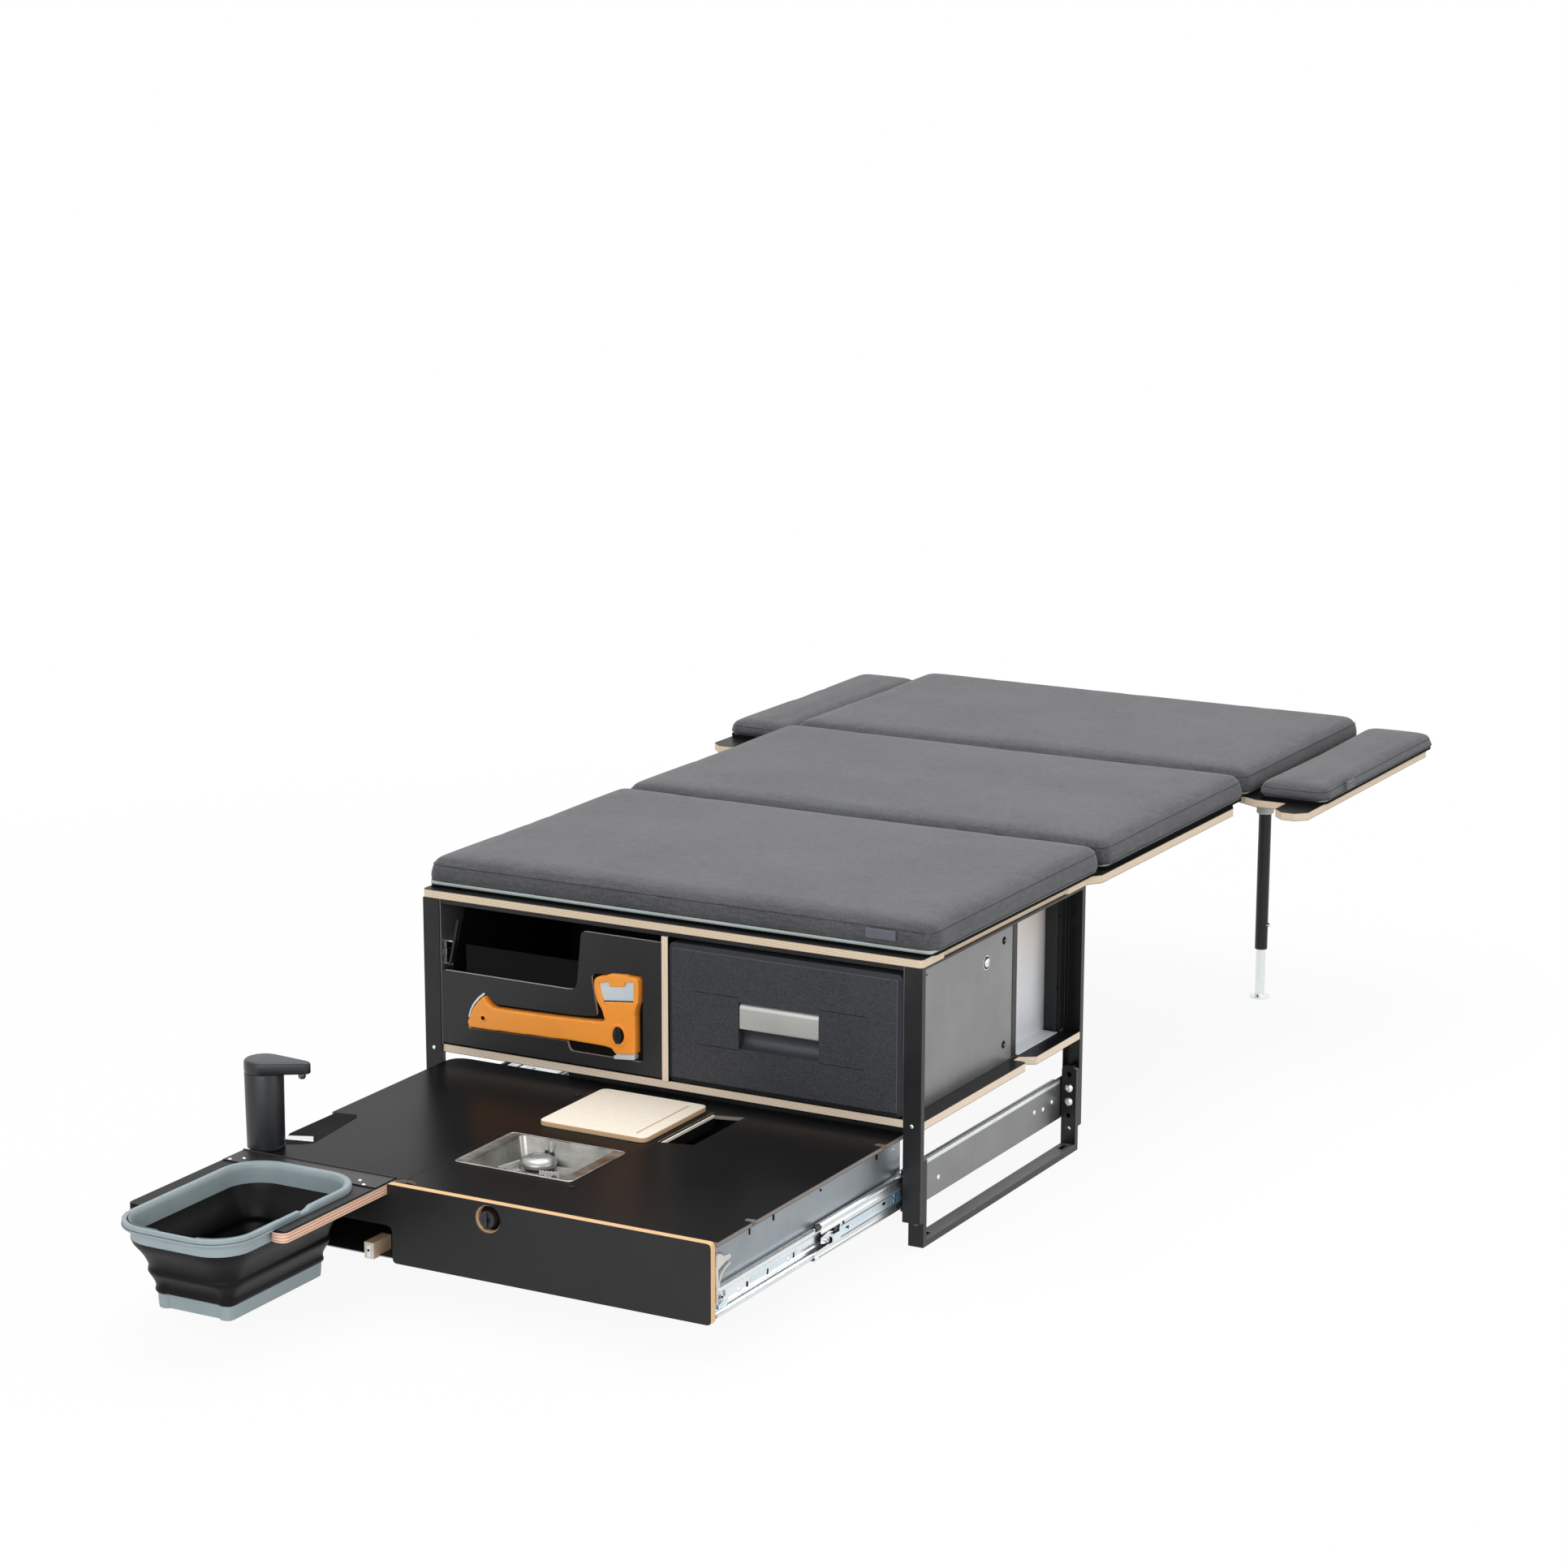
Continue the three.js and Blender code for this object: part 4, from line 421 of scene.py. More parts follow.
def makeCushionCloth():
    cloth = {"light": (0.108, 0.109, 0.115), "dark": (0.041, 0.0425, 0.046), "yarn": (0.17, 0.173, 0.18)}
    tree, shader = newMaterial("cushionCloth", Sheen_Weight=0.28, Sheen_Roughness=0.4, Specular_IOR_Level=0.2)
    weave = useGroup(tree, weaveGroup, Threads=5200.0, Streak=260.0)
    base = mixed(tree, weave["Shade"], cloth["dark"], cloth["light"])
    tree.links.new(mixed(tree, times(tree, weave["Cloud"], 0.22), base, cloth["yarn"]), shader["Base Color"])
    tree.links.new(spread(tree, weave["Shade"], 0, 1, 0.86, 0.97), shader["Roughness"])
    linkBump(tree, shader, plus(tree, weave["Height"], weave["Shade"]), 0.35, 0.0004)


# The floor is white where it is seen, less so near the object, where it keeps the shadow
def makePaleFloor():
    tree, shader = newMaterial("paleFloor", Base_Color=(0.86, 0.86, 0.86, 1), Roughness=0.7, Specular_IOR_Level=0.1)
    grain = useGroup(tree, grainGroup, Fine=60.0, Broad=2.0)
    tree.links.new(spread(tree, grain["Grain"], 0, 1, 0.62, 0.78), shader["Roughness"])
    away = addNode(tree, "ShaderNodeVectorMath", {0: objectPlace(tree)}, operation="LENGTH").outputs["Value"]
    weight = spread(tree, away, 1.2, 3.2, 0.92, 1.0)
    surface = tree.nodes["Material Output"].inputs["Surface"]
    whiteWhenSeen(tree, "ShaderNodeEmission", tree.nodes["Principled BSDF"].outputs[0], surface, weight)


makeCushionCloth()
makePaleFloor()
floorMesh.materials.append(finishes["paleFloor"])
print("materials ready:", len(finishes))


# Pieces carried over from the solids, with eased edges
def solidOf(node, merge=True):
    made = bmesh.new()
    made.from_mesh(frame["nodes"][node].data)
    bmesh.ops.remove_doubles(made, verts=made.verts, dist=1e-6)
    if merge:
        bmesh.ops.dissolve_limit(made, angle_limit=math.radians(0.4), verts=made.verts, edges=made.edges)
    return made


def addMesh(name, mesh, body):
    piece = addObject(name, mesh)
    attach(piece, body)
    return piece


def addPiece(name, made, body, materials, replaced=()):
    mesh = bpy.data.meshes.new(name)
    made.to_mesh(mesh)
    made.free()
    for key in materials:
        mesh.materials.append(finishes[key])
    piece = addMesh(name, mesh, body)
    if replaced:
        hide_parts(*replaced)
    return piece


def softenEdges(piece, width, segments=2, angle=35):
    for face in piece.data.polygons:
        face.use_smooth = True
    bevel = piece.modifiers.new("edges", "BEVEL")
    bevel.width = width * mm
    bevel.segments = segments
    bevel.limit_method = "ANGLE"
    bevel.angle_limit = math.radians(angle)
    bevel.use_clamp_overlap = False
    flat = piece.modifiers.new("flatFaces", "WEIGHTED_NORMAL")
    flat.weight = 90
    flat.keep_sharp = True
    return piece


# A solid with its edges eased and its faces given finishes by the rule
def dress(node, slotName, materials, edge=0.5, segments=2, rule=None, merge=True):
    made = solidOf(node, merge)
    if rule:
        for face in made.faces:
            face.material_index = rule(face)
    softenEdges(addPiece("trim_" + node, made, bodyOf(node), materials, [node]), edge, segments)


def facing(axis):
    return lambda face: 0 if abs(face.normal[axis]) > 0.8 else 1


def centreOf(face):
    return fromFrame(face.calc_center_median())


# Sheet of the kitchen tray: its inside is dark, partly the sheet's own colour and partly painted shade, and the
# plywood block at the opening is part of it
def trayRule(face):
    x, y, z = centreOf(face)
    inBlock = -200 < x < -176
    if inBlock and y < -560 and z < 88 and abs(face.normal.x) + abs(face.normal.z) > 0.5:
        return 2
    if inBlock and y < -597:
        return 3
    return 0 if y < -597.5 or abs(x) > 432.5 or face.normal.z < -0.5 or y > 27 else 1


# The pan behind the flat part of a side panel takes its own finish, its rear flange is black, and the step faces
# between 405 and 425 are black as well, partly flange and partly painted shade of the gap
def panelRule(face):
    y = centreOf(face)[1]
    if y > 591 or (405 < y < 425.5 and abs(face.normal.y) > 0.5):
        return 2
    return 1 if y > 425 else 0


# Low up-facing faces of the foot frame take the lighter painted reflection
def footRule(face):
    return 1 if face.normal.z > 0.8 and centreOf(face)[2] < 45 else 0


def forkRule(face):
    return 0 if abs(face.normal.z) > 0.8 or (centreOf(face)[0] < -400 and face.normal.y < -0.3) else 1


def bothOf(*names):
    return [side + "_" + name for name in names for side in ("left", "right")]


# Nodes, slot, finishes, edge, then bevel segments and rule where they differ
dressed = [
    (["top_frame"] + bothOf("side_frame", "leg_bracket", "leg"), "steel_black", ["blackSteel"], 0.7),
    (bothOf("tool_runner", "leg_foot"), "zinc", ["zincSteel"], 0.4),
    (["fridge_bin", "fridge_cabinet"], "fridge_plastic", ["fridgePlastic"], 1.2),
    # the tool drawer box in near-black painted shade
    (["tool_drawer_box"], "steel_black", ["boxInside"], 0.7),
    (bothOf("foot_frame"), "steel_black", ["blackSteel", "footTop"], 0.7, 2, footRule),
    (bothOf("slide_plate"), "panel_grey", ["panelSteel"], 0.4),
    (bothOf("side_panel"), "panel_grey", ["panelSteel", "panSteel", "blackSteel"], 0.6, 2, panelRule),
    (["top_board", "mid_board", "head_board"] + bothOf("wing_board"), "plywood", ["filmFace", "bedEdge"], 0.5, 2,
        facing(2)),
    (["shelf_board"], "plywood", ["filmFace", "shelfEdge"], 0.5, 2, facing(2)),
    (["divider_board"], "plywood", ["filmFace", "dividerEdge"], 0.5, 2, facing(0)),
    (["kitchen_front_panel"], "black_board", ["frontFace", "frontEdge"], 0.7, 2, facing(1)),
    (["tool_drawer_front"], "black_board", ["toolFace", "toolEdge"], 0.7, 2, facing(1)),
    (["left_table_plate", "centre_table_plate", "right_table_plate"], "black_board", ["filmFace", "tableEdge"], 0.5,
        2, facing(2)),
    (["sink_fork"], "black_board", ["filmFace", "forkEdge"], 1.2, 3, forkRule),
    (["chopping_board"], "plywood", ["birchFace", "choppingEdge"], 1.6, 3, facing(2)),
    (["kitchen_tray"], "blue_grey", ["blueSheet", "sheetInside", "blockEdge", "birchFace"], 0.4, 2, trayRule,
        False),
    (["pan_support"], "bright_steel", ["leverPlastic"], 0.3),
    (["gas_knob"], "black_plastic", ["blackPlastic"], 0.8),
    (["bucket_handle"], "rim_grey", ["rimPlastic"], 1.6, 3),
    (["axe_head"], "bright_steel", ["axeSteel"], 0.8),
    (["axe_knob"], "black_plastic", ["blackPlastic"], 1.2, 3),
]
for nodes, *how in dressed:
    for node in nodes:
        dress(node, *how)
print("boards, frames and drawers dressed")


# Short ways to make shapes, in box millimetres: an outline drawn out along an axis
def prism(made, outline, axis, start, end, material=0):
    order = {"x": (2, 0, 1), "y": (0, 2, 1), "z": (0, 1, 2)}[axis]
    low, high = [[made.verts.new([(u, v, w)[i] for i in order]) for u, v in outline] for w in (start, end)]
    count = len(outline)
    faces = [made.faces.new((low[i], low[(i + 1) % count], high[(i + 1) % count], high[i])) for i in range(count)]
    faces += [made.faces.new(low[::-1]), made.faces.new(high)]
    for face in faces:
        face.material_index = material


def block(made, x0, x1, y0, y1, z0, z1, material=0):
    prism(made, [(x0, y0), (x1, y0), (x1, y1), (x0, y1)], "z", z0, z1, material)


# Points round a place, from the right over the top
def circle(a, b, radius, sides=24):
    turns = [2 * math.pi * i / sides for i in range(sides)]
    return [(a + radius * math.cos(turn), b + radius * math.sin(turn)) for turn in turns]


def rod(made, axis, a, b, radius, start, end, material=0, sides=24):
    prism(made, circle(a, b, radius, sides), axis, start, end, material)


# A skin through rings of equal count; bands gives each band between two rings its finish
def skin(made, rings, closed=False, bands=None):
    loops = [[made.verts.new(point) for point in ring] for ring in rings]
    count = len(rings[0])
    pairs = list(zip(loops, loops[1:] + loops[:1] if closed else loops[1:]))
    bands = bands or [0] * len(pairs)
    for band, (low, high) in zip(bands, pairs):
        for i in range(count):
            j = (i + 1) % count
            made.faces.new((low[i], low[j], high[j], high[i])).material_index = band
    if not closed:
        made.faces.new(loops[0][::-1]).material_index = bands[0]
        made.faces.new(loops[-1]).material_index = bands[-1]


# Rings of a turned shape: profile gives radius and place along the axis
def turned(a, b, profile, sides=48, axis="z", tall=1):
    rings = []
    for radius, along in profile:
        points = [(u, b + (v - b) * tall) for u, v in circle(a, b, radius, sides)]
        rings.append([(u, v, along) if axis == "z" else (u, along, v) for u, v in points])
    return rings


def roundRing(x0, x1, y0, y1, radius, z, steps=6):
    points = []
    for x, y, turn in ((x1 - radius, y1 - radius, 0), (x0 + radius, y1 - radius, 1), (x0 + radius, y0 + radius, 2),
        (x1 - radius, y0 + radius, 3)):
        for i in range(steps + 1):
            angle = (turn + i / steps) * math.pi / 2
            points.append((x + radius * math.cos(angle), y + radius * math.sin(angle), z))
    return points


# A sheet of even thickness along the points of its middle line
def rolledSheet(points, thickness):
    outer, inner = [], []
    for i, point in enumerate(points):
        along = Vector(points[min(i + 1, len(points) - 1)]) - Vector(points[max(i - 1, 0)])
        across = Vector((-along.y, along.x)).normalized() * thickness / 2
        outer.append(tuple(Vector(point) + across))
        inner.append(tuple(Vector(point) - across))
    return outer + inner[::-1]


def finishShape(name, made, node, materials, replaced=(), sharp=35, side=1):
    for vertex in made.verts:
        x, y, z = vertex.co
        vertex.co = at(x * side, y, z)
    bmesh.ops.recalc_face_normals(made, faces=made.faces)
    piece = addPiece(name, made, bodyOf(node), materials, replaced)
    piece.data.shade_smooth()
    piece.data.set_sharp_from_angle(angle=math.radians(sharp))
    return piece


# Each part is a shape function and its values; ease is the width of the worn edges and their segments
def build(name, node, materials, parts, ease=(), replaced=(), sharp=35, side=1):
    made = bmesh.new()
    for shape, *values in parts:
        shape(made, *values)
    piece = finishShape(name, made, node, materials, replaced, sharp, side)
    return softenEdges(piece, *ease) if ease else piece


# Geometry Nodes: trees that turn points or lines into repeated or swept shapes
def newShapeTree(name, sockets):
    return newTree(name, "GeometryNodeTree", {"Geometry": "Geometry", **sockets, "Finish": "Material"},
        {"Geometry": "Geometry"})


def endTree(tree, given, wanted, made):
    plain = firstOut(tree, "GeometryNodeRealizeInstances", {"Geometry": made})
    tree.links.new(firstOut(tree, "GeometryNodeSetMaterial", {"Geometry": plain, "Material": given["Finish"]}),
        wanted[0])


# An instance on every point, turned the way the point faces
def endWithPoints(tree, given, wanted, instance):
    way = firstOut(tree, "GeometryNodeInputNamedAttribute", {"Name": "facing"}, data_type="FLOAT_VECTOR")
    turn = firstOut(tree, "FunctionNodeAlignRotationToVector", {"Vector": way}, axis="Z")
    endTree(tree, given, wanted, firstOut(tree, "GeometryNodeInstanceOnPoints", {
        "Points": given["Geometry"], "Instance": instance, "Rotation": turn}))
    return tree


# Domed heads with a hexagon socket
tree, given, wanted = newShapeTree("socketHeads",
    {"Head Radius": "Float", "Head Height": "Float", "Socket Radius": "Float"})
radius, height = given["Head Radius"], given["Head Height"]
ball = firstOut(tree, "GeometryNodeMeshUVSphere", {"Segments": 16, "Rings": 8, "Radius": 1.0})
wide = firstOut(tree, "ShaderNodeCombineXYZ", {0: radius, 1: radius, 2: height})
dome = firstOut(tree, "GeometryNodeTransform", {"Geometry": ball, "Scale": wide})
socket = firstOut(tree, "GeometryNodeMeshCylinder",
    {"Vertices": 6, "Radius": given["Socket Radius"], "Depth": height})
lift = firstOut(tree, "ShaderNodeCombineXYZ", {2: height})
socket = firstOut(tree, "GeometryNodeTransform", {"Geometry": socket, "Translation": lift})
head = firstOut(tree, "GeometryNodeMeshBoolean", {"Mesh 1": dome, "Mesh 2": socket}, operation="DIFFERENCE")
headTree = endWithPoints(tree, given, wanted, head)

# Small flat marks, such as perforations and slots
tree, given, wanted = newShapeTree("flatMarks", {"Mark Radius": "Float", "Mark Height": "Float"})
markTree = endWithPoints(tree, given, wanted, firstOut(tree, "GeometryNodeMeshCylinder", {
    "Vertices": 8, "Radius": given["Mark Radius"], "Depth": given["Mark Height"]}))

# A round line swept along a path
tree, given, wanted = newShapeTree("sweptLine", {"Radius": "Float", "Sides": "Int"})
path = firstOut(tree, "GeometryNodeMeshToCurve", {"Mesh": given["Geometry"]})
rim = firstOut(tree, "GeometryNodeCurvePrimitiveCircle", {"Resolution": given["Sides"], "Radius": given["Radius"]})
endTree(tree, given, wanted, firstOut(tree, "GeometryNodeCurveToMesh",
    {"Curve": path, "Profile Curve": rim, "Fill Caps": True}))
lineTree = tree


def growPiece(name, tree, mesh, values, node):
    seedling = addObject(name + "Points", mesh)
    modifier = seedling.modifiers.new("shape", "NODES")
    modifier.node_group = tree
    for item in tree.interface.items_tree:
        if item.in_out == "INPUT" and item.name in values:
            modifier[item.identifier] = values[item.name]
    grown = evaluatedMesh(seedling)
    bpy.data.objects.remove(seedling)
    grown.name = name
    addMesh(name, grown, bodyOf(node))
    grown.shade_smooth()
    grown.set_sharp_from_angle(angle=math.radians(40))


ways = {"front": (0, -1, 0), "back": (0, 1, 0), "right": (1, 0, 0), "up": (0, 0, 1)}


# Each spot has its place and the way it faces
def pointMesh(name, spots):
    mesh = bpy.data.meshes.new(name)
    mesh.from_pydata([at(*spot[:3]) for spot in spots], [], [])
    facings = mesh.attributes.new("facing", "FLOAT_VECTOR", "POINT")
    for item, spot in zip(facings.data, spots):
        item.vector = spot[3]
    return mesh


# sizes: head radius, head height and socket radius
def addHeads(name, node, sizes, spots):
    keys = ("Head Radius", "Head Height", "Socket Radius")
    values = {key: size * mm for key, size in zip(keys, sizes)}
    growPiece(name, headTree, pointMesh(name + "Spots", spots), {**values, "Finish": finishes["zincSteel"]}, node)


# Holes and slots as dark flat marks of painted shade
def addMarks(name, node, radius, height, spots):
    values = {"Mark Radius": radius * mm, "Mark Height": height * mm, "Finish": finishes["shadowGap"]}
    growPiece(name, markTree, pointMesh(name + "Spots", spots), values, node)


def addLine(name, node, finish, radius, paths, closed=False):
    mesh = bpy.data.meshes.new(name + "Path")
    points, edges = [], []
    for line in paths:
        start = len(points)
        points += [at(*point) for point in line]
        edges += [(i, i + 1) for i in range(start, len(points) - 1)]
        if closed:
            edges.append((len(points) - 1, start))
    mesh.from_pydata(points, edges, [])
    values = {"Radius": radius * mm, "Sides": 6, "Finish": finishes[finish]}
    growPiece(name, lineTree, mesh, values, node)


def alike(way, *places):
    return [(*place, ways[way]) for place in places]


def mirrored(spots):
    return spots + [(-x, y, z, (-way[0], way[1], way[2])) for x, y, z, way in spots]


# Screws and bolts of the frame
addHeads("postScrews", "top_frame", (3.4, 0.9, 1.5), mirrored(
    alike("front", (468, 0, 211)) + alike("back", (468, 630, 211)) + alike("front", (462, 600, 470))))
addHeads("footBolts", "left_foot_frame", (8, 4.2, 2.6), mirrored(
    alike("front", (471, 605, 90), (471, 605, 115)) + alike("back", (471, 25, 90), (471, 25, 115))))
addHeads("plateScrews", "top_frame", (4.6, 2.2, 1.7), mirrored(
    alike("right", (454, 46, 92), (454, 128, 85), (454, 500, 96), (454, 536, 92), (454, 572, 96))))

# Recessed bolt and screws of the side panels, their recesses dark with painted shade, with the black flanges of the
# pan; the front black strip is partly flange, partly painted shade of the step's gap
panel = {"bolt": (305, 414), "screws": [(375, 252), (372, 437)], "pin": (81, 447), "pins": [300, 440],
    "face": 451.5, "flange": (221, 479)}
boltAt, face, span = panel["bolt"], panel["face"], panel["flange"]
for side, word in hands:
    build(word + "PanelRecesses", word + "_side_panel", ["zincSteel", "shadowGap", "blackSteel"], [
        (rod, "x", *boltAt, 12.5, face, 452.5, 0, 32), (rod, "x", *boltAt, 11, face, 452.9, 1, 32),
        *[(rod, "x", *place, 7, face, 452.3, 1) for place in panel["screws"]],
        (rod, "x", *panel["pin"], 2, face, 452.3, 1, 12),
        (block, 448, 452.8, 406, 423, *span, 2), (block, 448, 452.4, 584, 628, *span, 2),
        *[(rod, "x", 586, z, 2.2, 452, 452.7, 1, 12) for z in panel["pins"]]], (0.3,), side=side)
addHeads("panelBolts", "top_frame", (8.5, 4, 3.4), mirrored(alike("right", (452.6, *boltAt))))
addHeads("panelScrews", "top_frame", (3.2, 1.2, 1.4),
    mirrored(alike("right", *[(452.3, *place) for place in panel["screws"]])))

# Small holes in the rear posts and the row in the pan's flange, as dark marks of painted shade
addMarks("postHoles", "top_frame", 2.2, 0.8, mirrored(
    alike("front", *[(468, 617, z) for z in (250, 285, 400, 430)]) + alike("right",
        *[(453.5, 592, z) for z in (250, 300, 430)])))
print("frame fittings ready")


# Kitchen runners: rolled rails with beads, ball cages, rivets and a lock lever
runner = {
    "thickness": 1.8, "midFront": -291, "midRear": 293, "midNotch": -209, "innerFront": -598, "innerRear": -14,
    "outerFront": 15, "outerRear": 600, "midTopFront": -271, "middle": 92,
}
# Middle lines from the bottom up to the rail's middle height, which the upper half mirrors
lowerHalves = {
    "outer": [(440.5, 58.5), (440.2, 56.6), (443, 55.9), (447.5, 56.2), (450.4, 58.4), (450.9, 62), (449.2, 66),
        (449.2, 74), (450.9, 78)],
    "mid": [(436.6, 66.8), (437, 64.4), (440.5, 63.6), (444.5, 63.8), (446.7, 65.6), (447.1, 68.5), (445.4, 71),
        (445.4, 75), (447.1, 77.5), (447.1, 80)],
    "web": [(447.1, 80), (447.1, 84.5), (446.2, 86)],
    "inner": [(443.4, 72.6), (443.7, 70), (441, 68.9), (437, 69.3), (434.5, 71.6), (434.1, 75), (436, 77.6),
        (436, 81.4), (434.1, 84)],
}


def rail(made, profile, halves, start, end, material=0):
    lower = lowerHalves[profile]
    upper = [(x, 2 * runner["middle"] - z) for x, z in lower[::-1]]
    points = {"both": lower + upper, "lower": lower, "upper": upper}[halves]
    prism(made, rolledSheet(points, runner["thickness"]), "y", runner[start], runner[end], material)


# The third finish paints the rails' holes, slots and end gaps dark, as painted shade
def addRail(name, node, side, parts):
    build(name, node, ["zincSteel", "zincBlue", "shadowGap"], parts, replaced=[node], sharp=28, side=side)


for side, word in hands:
    outer, middle, inner = [word + "_slide_" + part for part in ("outer", "mid", "inner")]
    addRail(word + "OuterRail", outer, side, [
        (rail, "outer", "both", "outerFront", "outerRear"), (block, 441, 446, 17, 25, 58, 66, 2),
        (block, 441, 446, 17, 25, 118, 126, 2)])
    build(word + "PlateBead", outer, ["stripSteel"], [(block, 453, 456, 20, 600, 122.6, 129.8)], (1.2, 3),
        side=side)
    addRail(word + "MidRail", middle, side, [
        (rail, "mid", "upper", "midTopFront", "midRear"), (rail, "mid", "lower", "midFront", "midRear"),
        (rail, "web", "both", "midNotch", "midRear", 1),
        (prism, rolledSheet([(447.1, 80), (447.1, 92)], runner["thickness"]), "y", -232, runner["midNotch"]),
        (rod, "x", -198, 102.7, 2.6, 446, 448.6, 2, 14),
        (prism, [(-189, 91), (-178, 86), (-181, 88.6), (-178, 91)], "x", 447.2, 448.4, 2),
        *[(block, 446.6, 448.3, y, y + 7, 90, 94, 2) for y in (-60, 60, 180)],
        *[(block, 439.5, 444.5, 45, 285, *span) for span in ((57.4, 63), (121, 126.6))]])
    # After the rail: spring strip and slots, the ball cage, and the hooked front end with its spring
    addRail(word + "InnerRail", inner, side, [
        (rail, "inner", "both", "innerFront", "innerRear"), (block, 434.8, 435.4, -480, -330, 86, 97, 1),
        *[(block, 434.8, 435.8, y - 1.9, y + 1.9, z - 4.4, z + 4.4, 2) for y, z in ((-489.5, 87), (-425, 88),
            (-341, 89))],
        *[(block, 439, 443.5, -254, -22, *span) for span in ((65.4, 68.6), (115.6, 118.4))],
        (prism, [(-598, 76), (-560, 76), (-553, 82), (-553, 97), (-562, 101), (-562, 93), (-576, 90), (-598, 92)],
            "x", 436.4, 438.2),
        (prism, [(-592, 79), (-570, 81), (-566, 87), (-574, 90), (-592, 86)], "x", 438.4, 442.4, 1),
        (rod, "x", -580, 96, 4.5, 435, 442, 0, 20), (rod, "x", -580, 96, 2, 440, 443, 2, 12)])
    # Cage end and roller in the notch of the middle rail
    build(word + "CageEnd", middle, ["zincSteel", "blackPlastic"], [
        (prism, [(-262, 84), (-238, 78), (-225, 80), (-222, 95), (-240, 99), (-262, 94)], "x", 441, 443),
        (rod, "x", -248, 88, 4.4, 442, 447, 0, 20), (rod, "x", -248, 88, 1.8, 446, 447.6, 1, 12),
        (rod, "x", -232, 90, 3, 442, 446.4, 0, 16), (block, 441.5, 444.5, -222, -210, 79, 103, 1),
        (rod, "y", 441.5, 114.5, 5.2, -284, -268, 1, 24), (rod, "y", 441.5, 114.5, 2.6, -286, -283, 0, 16)], (0.4,),
        side=side)
    build(word + "RailStop", middle, ["bluePlastic", "zincSteel"], [
        (prism, [(-30, 81), (-8, 81), (-8, 103), (-30, 103)], "x", 446.5, 448.6),
        (prism, [(-26, 85), (-17, 85), (-17, 91), (-26, 91)], "x", 448.2, 449.2, 1),
        (prism, [(-24, 94), (-12, 94), (-12, 99), (-24, 99)], "x", 448.2, 449.2, 1)], (0.5,), side=side)
addHeads("innerRivets", "kitchen_tray", (4.6, 2.4, 1.6), mirrored(
    alike("right", (435, -357, 87), (435, -514, 86.5), (435, -200, 86.4), (435, -60, 86.4))))


# Painted shade in the rolled grooves of the rails, drawn as dark lines: place across, height, front and rear end
def addGrooveShade(name, node, side, radius, grooves):
    addLine(name, node, "railShade", radius, [[(side * x, y, z) for y in ends] for x, z, *ends in grooves])


for side, word in hands:
    addGrooveShade(word + "InnerGrooveShade", word + "_slide_inner", side, 1.1,
        [(435.6, 109.3, -594, -262), (435.8, 76.4, -594, -262)])
    addGrooveShade(word + "MidGrooveShade", word + "_slide_mid", side, 0.8, [
        (447.2, 115.4, -262, 40), (447.9, 99.4, -205, 40), (447.9, 80.4, -205, 40), (447.4, 68.6, -282, 40)])
    addGrooveShade(word + "TrayShade", "kitchen_tray", side, 1.4, [(432.8, 120.6, -262, 10)])

# Lever behind the front panel that unlocks the runners
lever = {
    "x": 441, "thickness": 4, "rear": [(-594, 92), (-596, 150)],
    "curve": [(-596, 90), (-593, 104), (-590, 122), (-584, 134), (-572, 141), (-556, 145)],
    "top": [(-597, 164), (-594, 170), (-587.6, 168.6), (-578, 162), (-559, 160), (-556, 156), (-558, 153),
        (-574, 151), (-591, 145.5), (-597, 146)],
}
for side, word in hands:
    build(word + "LockLever", "kitchen_tray", ["leverPlastic"], [
        (prism, rolledSheet(lever["curve"], lever["thickness"]), "x", lever["x"] - 4, lever["x"] + 3),
        (prism, lever["top"], "x", lever["x"] - 3, lever["x"] + 4),
        (prism, rolledSheet(lever["rear"], 5), "x", lever["x"] - 5, lever["x"] + 3)], (1.2, 3), side=side)
print("runners ready")


# Kitchen drawer: painted highlight of the fold, slots, tabs, hinge strip, knob ring and the stove's fittings
# A bright tube along the tray's folded top edge: a painted highlight
addLine("trayFoldHighlights", "kitchen_tray", "handleMetal", 1.1, [
    [(440, -597, 180.8), (440, 27, 180.8)], [(-440, -340, 180.8), (-440, 27, 180.8)]])
addHeads("trayScrews", "kitchen_tray", (3, 1.2, 1.2), mirrored(alike("right", (433, 3, 165.7), (433, 14, 80))))
slotOutline = [(-1.8, 164.4), (1.8, 164.4), (1.8, 173), (2.6, 174.6), (-2.6, 174.6), (-1.8, 173)]
for side, word in hands:
    # Slots and a hole in the tray's sides, drawn dark as painted shade
    build(word + "TraySlots", "kitchen_tray", ["shadowGap"], [
        *[(prism, [(y + a, z) for a, z in slotOutline], "x", 432, 433.8) for y in (-478.5, -402, -55.8)],
        (rod, "x", -248, 169, 2.4, 432, 433.8, 0, 16)], side=side)
tabOutline = [(430, -4), (445, -6), (448, -3), (448, 3), (445, 6), (430, 4)]
build("plateTabs", "kitchen_tray", ["tabFace"], [
    (prism, [(x, y + a) for x, a in tabOutline], "z", 184, 190.8) for y in (-485, -54)], (0.8,))

